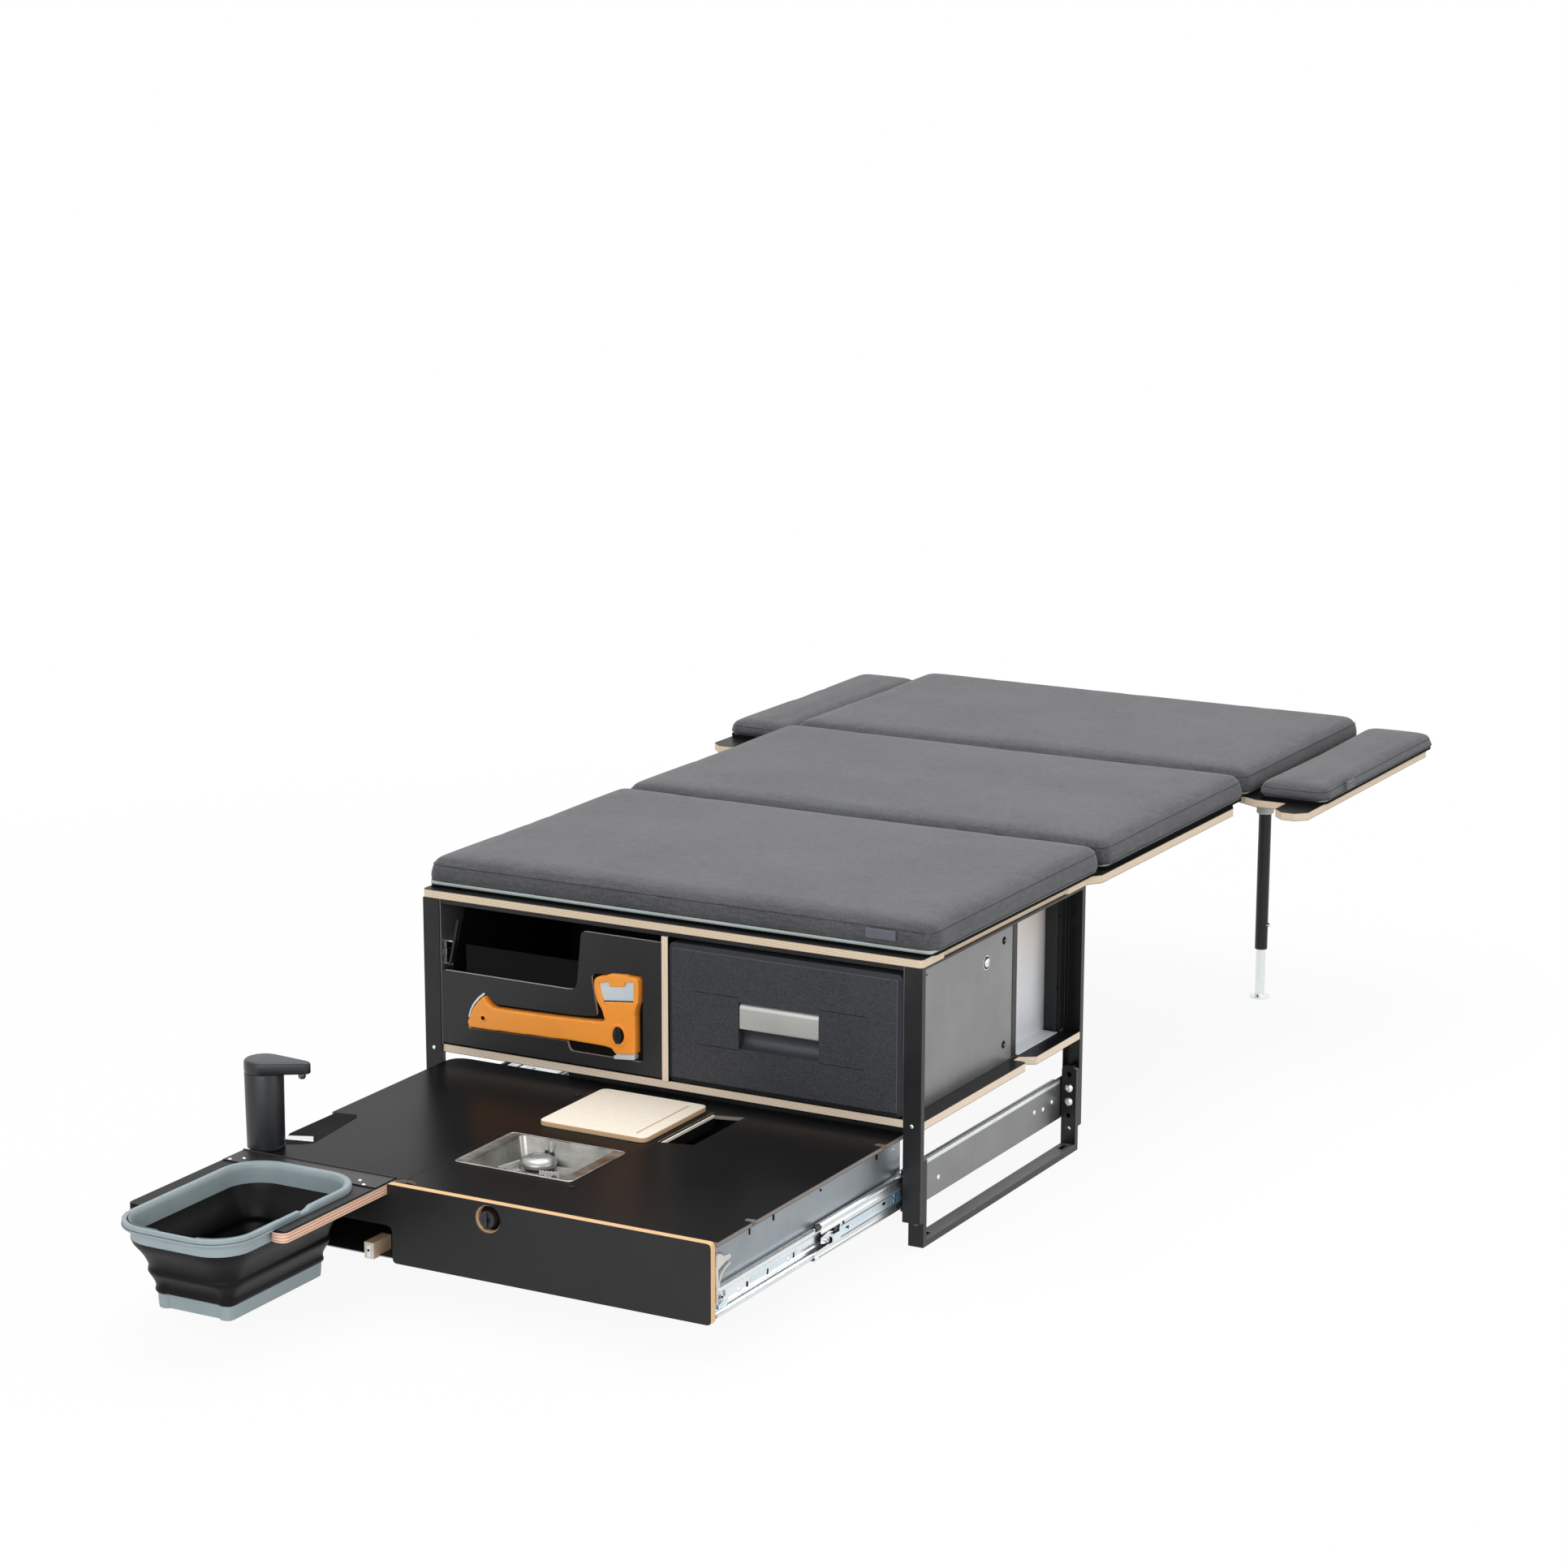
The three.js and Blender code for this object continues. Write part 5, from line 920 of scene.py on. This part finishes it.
# Latches, the bar of the left plate and a dark sheet of painted shade round its cut-out, and the birch strip in the
# slot beside the chopping board, with painted shade below it
tableSlot = {"left": 108.4, "front": -214, "rear": -32, "low": 166, "step": 184.8, "top": 189.6}
slotEnds = tableSlot["front"], tableSlot["rear"]
build("tableFittings", "kitchen_tray", ["blackSteel", "zincSteel", "birchFace", "shadowGap"], [
    (block, 109, 119, -487, -479, 188, 191.6), (block, -139, -131, -66, -58, 188, 191.4),
    (prism, [(-442.5, -510.3), (-376.5, -492.5), (-392.1, -470.4), (-444, -492.4)], "z", 189.6, 191.2, 1),
    (prism, [(-436.9, -343.8), (-437.8, -472.8), (-416.7, -528.5), (-385.3, -510.9), (-372.5, -495.2),
        (-390.1, -348.6), (-399.8, -334.9)], "z", 189.8, 190.3, 3),
    (block, tableSlot["left"], 121.6, *slotEnds, tableSlot["step"], tableSlot["top"], 2),
    (block, tableSlot["left"], 121.2, *slotEnds, tableSlot["low"], tableSlot["step"], 3),
    (prism, [(122, -212), (150, -212), (150, -202), (122, -206)], "z", 176, 181, 2)], (0.3,))
build("rearUpstand", "kitchen_tray", ["blackSteel"], [(block, -208, 442, 26.4, 29.6, 186, 198)],
    (0.5,))

hinge = {"ends": (-450, -152), "front": -641, "rear": -586, "low": 189.6, "top": 191.6, "pin": 2.2}
build("forkHinge", "sink_fork", ["blackSteel"], [
    (block, *hinge["ends"], hinge["front"], hinge["rear"], hinge["low"], hinge["top"]),
    (rod, "x", hinge["rear"] + 2, hinge["top"] - 0.4, hinge["pin"], *hinge["ends"], 0, 12)], (0.4,))
addHeads("hingeRivets", "sink_fork", (3.6, 1.4, 1.2), alike("up", *[
    (x, y, hinge["top"]) for x, y in ((-194.9, -621.5), (-177.5, -636.5), (-439.7, -634.5), (-422, -620))]))
build("forkGrip", "sink_fork", ["gripFace"], [
    (prism, [(-153, -882), (-176, -882), (-176, -700), (-184, -676), (-200, -660), (-200, -650), (-153, -650)], "z",
        189.8, 190.9)], (0.3,))

knobAt = (40, 163)
knobRing = [(24.6, -613.4), (24.6, -600), (21, -600), (21, -609.6), (22.6, -612.4)]
build("knobRing", "kitchen_front_panel", ["frontEdge"],
    [(skin, turned(*knobAt, knobRing, 40, "y"), True)])
# Dark bottom and shaft of the knob's well: painted shade
build("knobWellShade", "kitchen_front_panel", ["shadowGap"], [
    (rod, "y", *knobAt, 20.8, -601, -599.4, 0, 40), (rod, "y", *knobAt, 5, -620, -600, 0, 20)])
build("blockInsert", "kitchen_tray", ["zincSteel", "shadowGap"], [
    (block, -190.5, -184.5, -614, -612, 62, 83), (rod, "y", -187.5, 73, 2.2, -614.6, -613.6, 1, 14)], (0.4,))

# Burner: rows of holes as radius, height, slope and count; foot, head and ring as radius and height above the floor
burner = {
    "x": -40, "y": -338, "floor": 151.5,
    "holes": ((28, 168, 0.5, 40), (25, 172, 0.8, 36), (20.5, 174.4, 1.2, 30), (15, 175.8, 2, 22)),
    "foot": [(12, 0), (12, 8)],
    "head": [(24, 8), (29, 9), (30.4, 11), (30.6, 14), (29.6, 17), (27, 20), (23, 22.6), (18, 24.2), (12, 25),
        (11.6, 24.6), (0.6, 24.8)],
    "ring": [(23, 2), (23, 5), (19, 5), (19, 2)], "pins": 10, "igniterBack": 33,
}
bx, by, floorZ = burner["x"], burner["y"], burner["floor"]
holes = []
for radius, z, slope, count in burner["holes"]:
    for i in range(count):
        angle = 2 * math.pi * (i + 0.5 * (count % 4 == 0)) / count
        c, s = math.cos(angle), math.sin(angle)
        holes.append((bx + radius * c, by + radius * s, z, tuple(Vector((c, s, slope)).normalized())))
addMarks("burnerHoles", "burner", 1.1, 0.6, holes)
foot, head, ring = [turned(bx, by, [(radius, floorZ + z) for radius, z in burner[part]], sides)
                    for part, sides in (("foot", 32), ("head", 56), ("ring", 40))]
build("burnerHead", "burner", ["burnerSteel", "brightSteel", "blackPlastic"], [
    (skin, foot, False, [1]), (skin, head, False, [1] + [0] * 9),
    *[(rod, "z", x, y, 1.6, floorZ + 3, floorZ + 8.4, 2, 10) for x, y in circle(bx, by, 21, burner["pins"])],
    (skin, ring, True, [2] * 4)], replaced=["burner"], sharp=28)
# Rods of the igniter: place, radius, low, high, finish and sides
igniter = ((4, 3.2, 0, 22, 1, 16), (4, 1.2, 22, 39, 0, 10), (-6, 2.2, 0, 24, 1, 12), (-6, 0.8, 24, 33, 0, 8))
build("igniter", "burner", ["leverPlastic", "blackPlastic"], [
    (rod, "z", bx + x, by + burner["igniterBack"], radius, floorZ + low, floorZ + high, *how)
    for x, radius, low, high, *how in igniter], (0.3,))

# Pressed tray of the stove, with a raised lip on its two long flanges; share takes a ring in from the flanges
stove = {"x0": -121, "x1": 101, "y0": -466, "y1": -290, "side": 20, "end": 4, "slope": 13, "sheet": 1.5}


def stoveRing(inset, z, corner=10, share=1):
    across, along = stove["side"] * share + inset, stove["end"] * share + inset
    return roundRing(stove["x0"] + across, stove["x1"] - across, stove["y0"] + along, stove["y1"] - along, corner,
        z, 8)


slope, sheet = stove["slope"], stove["sheet"]
stoveRings = [
    (slope, floorZ - sheet, 8), (2, 184), (0.4, 188), (0, 190),
    (0, 190, 10, 0), (-0.3, 190.8, 10, 0), (0.2, 191.5, 10, 0), (1.4, 192, 9, 0), (2.6, 191.5, 8, 0), (-1.2, 191.5),
    (1.5, 191.3), (2.4, 189), (3.6, 184), (slope - 0.6, floorZ + 3.4, 9), (slope + 1.4, floorZ + 0.6, 8),
    (slope + 4.4, floorZ, 7)]
build("stovePressing", "stove_tray", ["brightSteel"],
    [(skin, [stoveRing(*ring) for ring in stoveRings])],
    replaced=["stove_tray"], sharp=40)
addLine("stoveFolds", "stove_tray", "burnerSteel", 0.8,
    [[(-101, -459, 191.6), (-101, -297, 191.6)]])
ventPlaces = ((18, -412), (28, -404), (38, -396), (12, -398), (22, -390), (32, -382), (-30, -428), (-18, -428),
    (48, -338), (48, -324))
addMarks("stoveVents", "stove_tray", 2.4, 0.5, alike("up", *[(x, y, 151.6) for x, y in ventPlaces]))
print("kitchen fittings ready")


# Fridge front: a rounded tray shape with a deep cove for the hand
fridge = {
    "x0": 8.5, "x1": 449.5, "z0": 222, "z1": 464, "front": -3, "face": -2.9, "step": 8.4,
    "rings": ((0, 30, 9), (0, 2.6, 9), (0.2, 1.7, 9), (0.8, 1.1, 8.4), (8.4, -3, 3.2)),
}
cove = {"x0": 145, "x1": 297, "top": 378, "back": 330, "middle": (0, 314.5), "radius": 17.5, "depth": 12}
made = bmesh.new()
loops = []
for inset, y, corner in fridge["rings"]:
    outline = roundRing(fridge["x0"] + inset, fridge["x1"] - inset, fridge["z0"] + inset, fridge["z1"] - inset,
        corner, 0, 5)
    loops.append([made.verts.new((x, y, z)) for x, z, flat in outline])
count = len(loops[0])
for low, high in zip(loops, loops[1:]):
    for i in range(count):
        face = made.faces.new((low[i], low[(i + 1) % count], high[(i + 1) % count], high[i]))
        # the outer chamfer band takes the darker painted shade
        face.material_index = 1 if high is loops[-1] else 0
made.faces.new(loops[0])
dipY, dipZ = cove["middle"]
radius, depth, top = cove["radius"], cove["depth"], cove["top"]
section = [(fridge["front"], top), (depth - 2, top), (depth, top - 2), (depth, cove["back"])]
section += [(dipY + radius * math.sin(math.radians(a)) * 0.95,
    dipZ + radius * math.cos(math.radians(a))) for a in range(50, 181, 10)]
section.append((fridge["front"], dipZ - radius + 0.6))
left, right = [[made.verts.new((x, y, z)) for y, z in section] for x in (cove["x0"], cove["x1"])]
for i in range(len(section) - 1):
    # the cove's curved faces take the painted highlight
    made.faces.new((left[i], left[i + 1], right[i + 1], right[i])).material_index = 2 if i > 3 else 0
for line in (left, right):
    made.faces.new(line)
edges = [made.edges.get(pair) for pair in zip(loops[-1], loops[-1][1:] + loops[-1][:1])]
for pair in ((left[0], right[0]), (left[-1], right[-1]), (left[0], left[-1]), (right[0], right[-1])):
    edges.append(made.edges.get(pair) or made.edges.new(pair))
bmesh.ops.triangle_fill(made, use_beauty=True, use_dissolve=False, edges=edges, normal=(0, -1, 0))
finishShape("fridgeFrontShell", made, "fridge_front",
    ["fridgePlastic", "fridgeChamferShaded", "coveHighlight"], ["fridge_front"], 21)
face, step = fridge["face"], fridge["step"]
farX, highZ = fridge["x1"] - step, fridge["z1"] - step
# A lighter line along the chamfer's inner edge: a painted highlight
addLine("fridgeEdgeHighlight", "fridge_front", "edgeShine", 0.5, [
    [(fridge["x0"] + 10, face, highZ), (farX - 0.6, face, highZ), (farX, face, highZ - 0.6),
        (farX, face, fridge["z0"] + 10)]])
# Dark lines in the creases: painted shade
addLine("fridgeCreaseShade", "fridge_front", "shadowGap", 0.5, [
    [(x, face, z) for x in ends] for z in (386, 295) for ends in ((64, cove["x0"]), (cove["x1"], 381))])
gripSection = [(11.6, 331), (11.6, 375), (9, 378), (5, 378), (2, 377), (-0.4, 374.8), (-1.8, 371.6), (-2.2, 368),
    (-2.2, 337), (-1.4, 334), (1, 333), (6, 333), (8.5, 331)]
build("fridgeGrip", "fridge_handle", ["handleMetal"], [
    (prism, [(y, z - 1.6) for y, z in gripSection], "x", cove["x0"] + 1.2, cove["x1"] - 1.2)], (0.5,),
    ["fridge_handle"], 25)
print("fridge front ready")


# Bucket: a lofted rim with finger steps, and a bellows that has a hard base
bucket = {
    "x0": -406, "x1": -171, "y0": -1006, "y1": -630, "corner": 70, "bailFrom": -818, "bailHeight": 194.6,
    "lipLow": 193, "stepDepth": 5, "soft": 5, "pointEvery": 8, "wall": 3, "deep": 32, "top": 164.7, "tall": 112.7,
    "floor": 55,
}
outline = roundRing(bucket["x0"], bucket["x1"], bucket["y0"], bucket["y1"], bucket["corner"], 0, 9)
plan = []
for first, second in zip(outline, outline[1:] + outline[:1]):
    pieces = max(1, round(math.dist(first, second) / bucket["pointEvery"]))
    plan += [tuple(a + (b - a) * i / pieces for a, b in zip(first, second)) for i in range(pieces)]
inward = []
for before, after in zip(plan[-1:] + plan[:-1], plan[1:] + plan[:1]):
    along = Vector(after) - Vector(before)
    inward.append(Vector((-along.y, along.x, 0)).normalized())


# Every ring has the points of the plan, moved inward
def rimRing(inset, z, change=None):
    ring = []
    for point, way in zip(plan, inward):
        spot = Vector(point) + way * (inset * (1 + 0.45 * abs(way.y)))
        ring.append((spot.x, spot.y, change(spot, z, inset) if change else z))
    return ring


# 1 between the two ends, which are soft
def fade(value, low, high):
    return min(1, max(0, (value - low) / bucket["soft"])) * min(1, max(0, (high - value) / bucket["soft"]))


# The lip lies lower under the bail and at the two finger steps
def lipHeight(spot, z, inset):
    if z < bucket["lipLow"]:
        return z
    if spot.y < bucket["bailFrom"] and inset < 8.3:
        z = min(z, bucket["bailHeight"])
    step = fade(spot.x, -307, -238) * (spot.y < -960) + fade(spot.y, -860, -791) * (spot.x > -200)
    return z - bucket["stepDepth"] * step * (z > 198)


rimProfile = [(0, 191.5), (-0.5, 196), (0, 200), (1.5, 202), (5, 202), (8.2, 202), (8.4, 202), (11, 199), (12, 193),
    (12.6, 182), (13, 170), (10.4, 170), (10, 178), (9.6, 188.4), (8, 190), (1.5, 190)]
build("bucketRimShell", "bucket_rim", ["rimPlastic"], [
    (skin, [rimRing(inset, z, lipHeight) for inset, z in rimProfile], True)], replaced=["bucket_rim"], sharp=38)
# Shares of the wall's depth and height
bellows = [(0, -0.045), (0.08, 0.03), (0.30, 0.13), (0.48, 0.22), (0.62, 0.31), (0.69, 0.37), (0.70, 0.395),
    (0.66, 0.425), (0.65, 0.46), (0.71, 0.50), (0.84, 0.56), (0.98, 0.63), (1.03, 0.67), (1.03, 0.70),
    (0.99, 0.735), (1.0, 0.765), (1.10, 0.79), (1.13, 0.82), (1.16, 0.94), (1.19, 1)]
outer = [(10 + bucket["deep"] * a, bucket["top"] - bucket["tall"] * b) for a, b in bellows]
inner = [(inset + bucket["wall"], max(z, bucket["floor"])) for inset, z in outer]
inner[0] = (inner[0][0], outer[0][1])
line = outer[::-1] + inner
bands = [1] * 3 + [0] * (len(line) - 4)
build("bucketSkin", "bucket_body", ["bellowsRubber", "rimPlastic"], [
    (skin, [rimRing(inset, z) for inset, z in line], False, bands)], replaced=["bucket_body"], sharp=50)
print("bucket ready")


# Water tap: a round body with a seam and a drop-shaped head that turns on it
tap = {
    "x": -430, "y": -549, "foot": 190, "turn": math.radians(14), "radius": 32.5, "reach": 71, "nose": 9.5,
    "nozzleAt": 66,
    "body": [(29, 0), (31, 1), (31.2, 4), (31.2, 5), (30.4, 5.6), (30.4, 7), (31.2, 7.6), (32.4, 127.4),
        (32, 128.4), (31, 129), (31, 130.6)],
    "head": [(130.4, 1), (131.2, 0.2), (132, 0), (145.4, 0), (147.4, 0.7), (149, 2.2), (149.8, 4.4), (150, 7)],
    "nozzle": [(4.6, 121), (6.2, 124), (6.4, 131)],
}


def dropRing(z, inset):
    radius, reach, nose = tap["radius"] - inset, tap["reach"] - inset, tap["nose"] - inset * 0.7
    swing = math.asin((radius - nose) / reach)
    points = []
    for i in range(37):
        angle = math.pi / 2 - swing + (math.pi + 2 * swing) * i / 36
        points.append((radius * math.cos(angle), radius * math.sin(angle)))
    for i in range(13):
        angle = swing - math.pi / 2 + (math.pi - 2 * swing) * i / 12
        points.append((reach + nose * math.cos(angle), nose * math.sin(angle)))
    c, s = math.cos(tap["turn"]), math.sin(tap["turn"])
    return [(tap["x"] + x * c - y * s, tap["y"] + x * s + y * c, tap["foot"] + z) for x, y in points]


def tapRings(part, away, sides):
    x, y = tap["x"] + away * math.cos(tap["turn"]), tap["y"] + away * math.sin(tap["turn"])
    return turned(x, y, [(radius, tap["foot"] + z) for radius, z in tap[part]], sides)


build("tapShell", "tap", ["tapPlastic"], [
    (skin, tapRings("body", 0, 64)), (skin, [dropRing(*place) for place in tap["head"]])], replaced=["tap"],
    sharp=32)
build("tapNozzle", "tap", ["brassTip"], [(skin, tapRings("nozzle", tap["nozzleAt"], 28))])
print("tap ready")


# Axe: a rounded handle, a blade, a guard with an arched window, and the knob's collar
handleOutline = [(-389.4, 260.2), (-391, 266), (-391, 272), (-385, 287), (-378.6, 298.5), (-368, 311),
    (-358.3, 320.5), (-355.4, 317), (-352, 311), (-346, 305), (-337, 301.4), (-300, 301.6), (-221, 303.4),
    (-160, 305.6), (-120, 308.4), (-113.5, 311.5), (-112.6, 317), (-114, 330), (-114.7, 345.4), (-55.4, 352),
    (-54.2, 340), (-53.2, 327.7), (-53, 259.4), (-93, 254.8), (-96, 259), (-99.7, 263.2), (-109, 265.2),
    (-177, 266.2)]
guardOutline = [(-111.8, 311), (-118.1, 330.5), (-127.5, 344.5), (-131.9, 361), (-132.9, 372.7), (-132.1, 381.3),
    (-127, 386.4), (-107.8, 391.2), (-103, 394.6), (-70, 396.8), (-66, 394.4), (-52, 394.4), (-47, 391),
    (-45.4, 379.6), (-46.5, 352.4), (-51, 343.3), (-53.4, 328), (-56, 330), (-56, 352), (-55, 386), (-71.4, 384),
    (-74.4, 375.6), (-101.6, 372.4), (-104.8, 380.6), (-124.6, 376), (-120.4, 357), (-115.4, 346), (-110.6, 326)]
buttOutline = [(-391, 277), (-387, 289), (-380, 301), (-369, 313.6), (-359, 322), (-361, 325), (-374, 314),
    (-383.6, 302), (-390, 289), (-393, 278)]
axe = {"voxel": 1.7, "rounds": 14, "knob": (-85.5, 289.5), "lanyard": (-359, 281.5)}


# A shape from a voxel shell, its edges worn round
def roundOff(piece, voxel, rounds):
    remesh = piece.modifiers.new("shell", "REMESH")
    remesh.mode = "VOXEL"
    remesh.voxel_size = voxel * mm
    smooth = piece.modifiers.new("worn", "SMOOTH")
    smooth.factor = 0.5
    smooth.iterations = rounds
    mesh = evaluatedMesh(piece)
    piece.modifiers.clear()
    piece.data = mesh
    mesh.shade_smooth()


roundOff(build("axeGrip", "axe_handle", ["orangePlastic"],
    [(prism, handleOutline, "y", -8.4, 16)],
               replaced=["axe_handle"]), axe["voxel"], axe["rounds"])
build("axeGuard", "axe_sheath", ["orangePlastic"], [(prism, guardOutline, "y", -9.4, 15)],
      (1.6, 3, 30), ["axe_sheath"], 30)
# The blade, the poll, and a dark line of painted shade at the neck's edge
build("axeBlade", "axe_head", ["axeSteel", "shadowGap"], [
    (prism, [(-116, 342), (-121, 357), (-126, 378), (-104, 384), (-54, 389), (-54, 349)], "y", -4.4, 7),
    (prism, [(-97.6, 251), (-97, 244.9), (-57, 248.9), (-56.2, 257)], "y", -5, 12),
    (prism, [(-114.6, 344.6), (-55.6, 351.2), (-55.6, 352.6), (-114.6, 346)], "y", -7.4, -4, 1)], (0.4,))
collar = ((16.6, -7), (16.4, -9.6), (15.2, -10.8), (12.6, -10.6), (11.4, -9.4), (11, -7))
build("axeCollar", "axe_handle", ["orangePlastic"],
    [(skin, turned(*axe["knob"], collar, 36, "y", 1.24), True)])
knobX, knobZ = axe["knob"]
build("axeKnobRibs", "axe_knob", ["shadowGap", "tapPlastic"], [
    (prism, [(u, knobZ + (v - knobZ) * 1.44) for u, v in circle(knobX, knobZ, 11.2, 32)], "y", -9.4, -7),
    (prism, [(-90.5, 275), (-87, 274), (-87, 305), (-90.5, 304)], "y", -12.6, -8, 1),
    (prism, [(-84, 274), (-80.5, 275), (-80.5, 304), (-84, 305)], "y", -12.2, -8, 1)], (0.6,))
lanyard = ((6.4, -7.6), (5.8, -9.6), (4.2, -9.8), (3.4, -8))
build("axeLanyardHole", "axe_handle", ["orangePlastic", "shadowGap"], [
    (skin, turned(*axe["lanyard"], lanyard, 24, "y"), True), (rod, "y", *axe["lanyard"], 3.6, -9, -7, 1, 20)])
build("axeButt", "axe_head", ["axeSteel"], [(prism, buttOutline, "y", -3, 8)], (0.5,))
# A dark sheet behind the axe's cut-out: painted shade
build("axeWindowShade", "tool_drawer_front", ["shadowGap"], [(block, -402, -38, 8.2, 9.4, 241, 404)])

# Left side of the tool drawer: a slanted strut and the ball cage of its runner
build("drawerStrut", "tool_drawer_box", ["blackSteel", "zincSteel"], [
    (prism, [(-416, 446), (-421, 446), (-440, 362), (-435, 360)], "y", 8, 12),
    (block, -449, -446, 13, 300, 378, 387, 1)], (0.5,))
print("axe and drawer trims ready")


# Legs: a locking collar and a snap button
leg = {"x": 385, "y": 1702, "button": 152, "collar": [(15.2, 380), (17.4, 382), (17.4, 392), (15.6, 396)]}
for side, word in hands:
    x, y = leg["x"] * side, leg["y"]
    build(word + "LegCollar", word + "_leg", ["leverPlastic"],
        [(skin, turned(x, y, leg["collar"], 32))])
    build(word + "SnapButton", word + "_leg_foot", ["zincSteel"], [
        (rod, "x", y, leg["button"], 4, x + 8, x + 17.6, 0, 16)], (0.8,))
print("legs ready")


# Cushions: padded bodies with seams, a pale underside and tags; voxel and cap in metres
padding = {
    "cloth": {"quality": 4, "mass": 0.3, "tension_stiffness": 18, "compression_stiffness": 18,
        "bending_stiffness": 3, "use_pressure": True, "uniform_pressure_force": 1.8},
    "voxel": 0.009, "cap": 0.0035, "frames": 20, "seam": 0.5, "seamHeight": 532, "seamStep": 0.012,
    "seamCorner": 0.03,
    "gap": (495.3, 499.4), "pale": ((4, 498.6), (2.6, 500), (2.6, 503), (4, 504)),
}


def puff(piece):
    start = [v.co.copy() for v in piece.data.vertices]
    cloth = piece.modifiers.new("cloth", "CLOTH")
    for key, value in padding["cloth"].items():
        setattr(cloth.settings, key, value)
    cloth.settings.effector_weights.gravity = 0
    cloth.collision_settings.use_collision = False
    cloth.point_cache.frame_start = 1
    cloth.point_cache.frame_end = padding["frames"]
    for step in range(1, padding["frames"] + 1):
        scene.frame_set(step)
    graph = bpy.context.evaluated_depsgraph_get()
    swollen = [v.co.copy() for v in piece.evaluated_get(graph).data.vertices]
    piece.modifiers.remove(cloth)
    scene.frame_set(1)
    for vertex, old, new in zip(piece.data.vertices, start, swollen):
        move = new - old
        if move.length > padding["cap"]:
            move.length = padding["cap"]
        vertex.co = old + move


# The line where a level plane meets the cushion: rays go in from a larger rectangle round it
def seamLoop(tree, low, high, z):
    middle, half = (low + high) / 2, (high - low) / 2
    inX, inY = half.x - padding["seamCorner"], half.y - padding["seamCorner"]
    corners = [(half.x, half.y), (-half.x, half.y), (-half.x, -half.y), (half.x, -half.y)]
    path = []
    for (ax, ay), (bx, by) in zip(corners, corners[1:] + corners[:1]):
        steps = max(2, round(math.hypot(bx - ax, by - ay) / padding["seamStep"]))
        path += [(ax + (bx - ax) * i / steps, ay + (by - ay) * i / steps) for i in range(steps)]
    loop = []
    for x, y in path:
        origin = Vector((middle.x + x * 1.3, middle.y + y * 1.3, z))
        target = Vector((middle.x + max(-inX, min(inX, x)), middle.y + max(-inY, min(inY, y)), z))
        hit = tree.ray_cast(origin, (target - origin).normalized())[0]
        if hit:
            loop.append(fromFrame(hit))
    return loop


def makeCushion(node):
    low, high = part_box(node)
    piece = addPiece("pad_" + node, solidOf(node), bodyOf(node), ["cushionCloth"], [node])
    remesh = piece.modifiers.new("remesh", "REMESH")
    remesh.mode = "VOXEL"
    remesh.voxel_size = padding["voxel"]
    mesh = evaluatedMesh(piece)
    piece.modifiers.remove(remesh)
    piece.data = mesh
    puff(piece)
    for vertex in mesh.vertices:
        vertex.co.z = max(vertex.co.z, low.z + 3 * mm)
    mesh.shade_smooth()
    tree = BVHTree.FromPolygons([v.co.copy() for v in mesh.vertices],
        [tuple(face.vertices) for face in mesh.polygons])
    top = min(padding["seamHeight"] * mm, high.z - 11 * mm)
    seams = [seamLoop(tree, low, high, z) for z in (top, low.z + 9 * mm)]
    addLine("seams_" + node, node, "seamThread", padding["seam"], seams, closed=True)
    smooth = piece.modifiers.new("round", "SUBSURF")
    smooth.levels = smooth.render_levels = 1
    (x0, y0, _), (x1, y1, _) = fromFrame(low), fromFrame(high)
    shown = 0 if node == "front_cushion" else 8
    pale = [roundRing(x0 + 9, x1 - 9, y0 + inset + shown, y1 - 10, 20 - inset, z) for inset, z in padding["pale"]]
    # A dark band of painted shade under the cushion, then the pale underside strip
    build("under_" + node, node, ["shadowGap", "underside"], [
        (skin, [roundRing(x0 + 7, x1 - 7, y0 + 7, y1 - 7, 16, z) for z in padding["gap"]]),
        (skin, pale, False, [1] * 3)])


for node in ("front_cushion", "mid_cushion", "head_cushion", "left_wing_cushion", "right_wing_cushion"):
    makeCushion(node)
tagOutline = [(371, 515), (426, 515), (426, 531), (371, 531)]
build("frontTag", "front_cushion", ["tag"], [(prism, tagOutline, "y", 17.4, 20)], (0.4,))
build("wingTag", "right_wing_cushion", ["tag"], [(block, 649.3, 653.3, 1446, 1484, 507.5, 522.5)],
    (0.4,))
print("cushions ready")
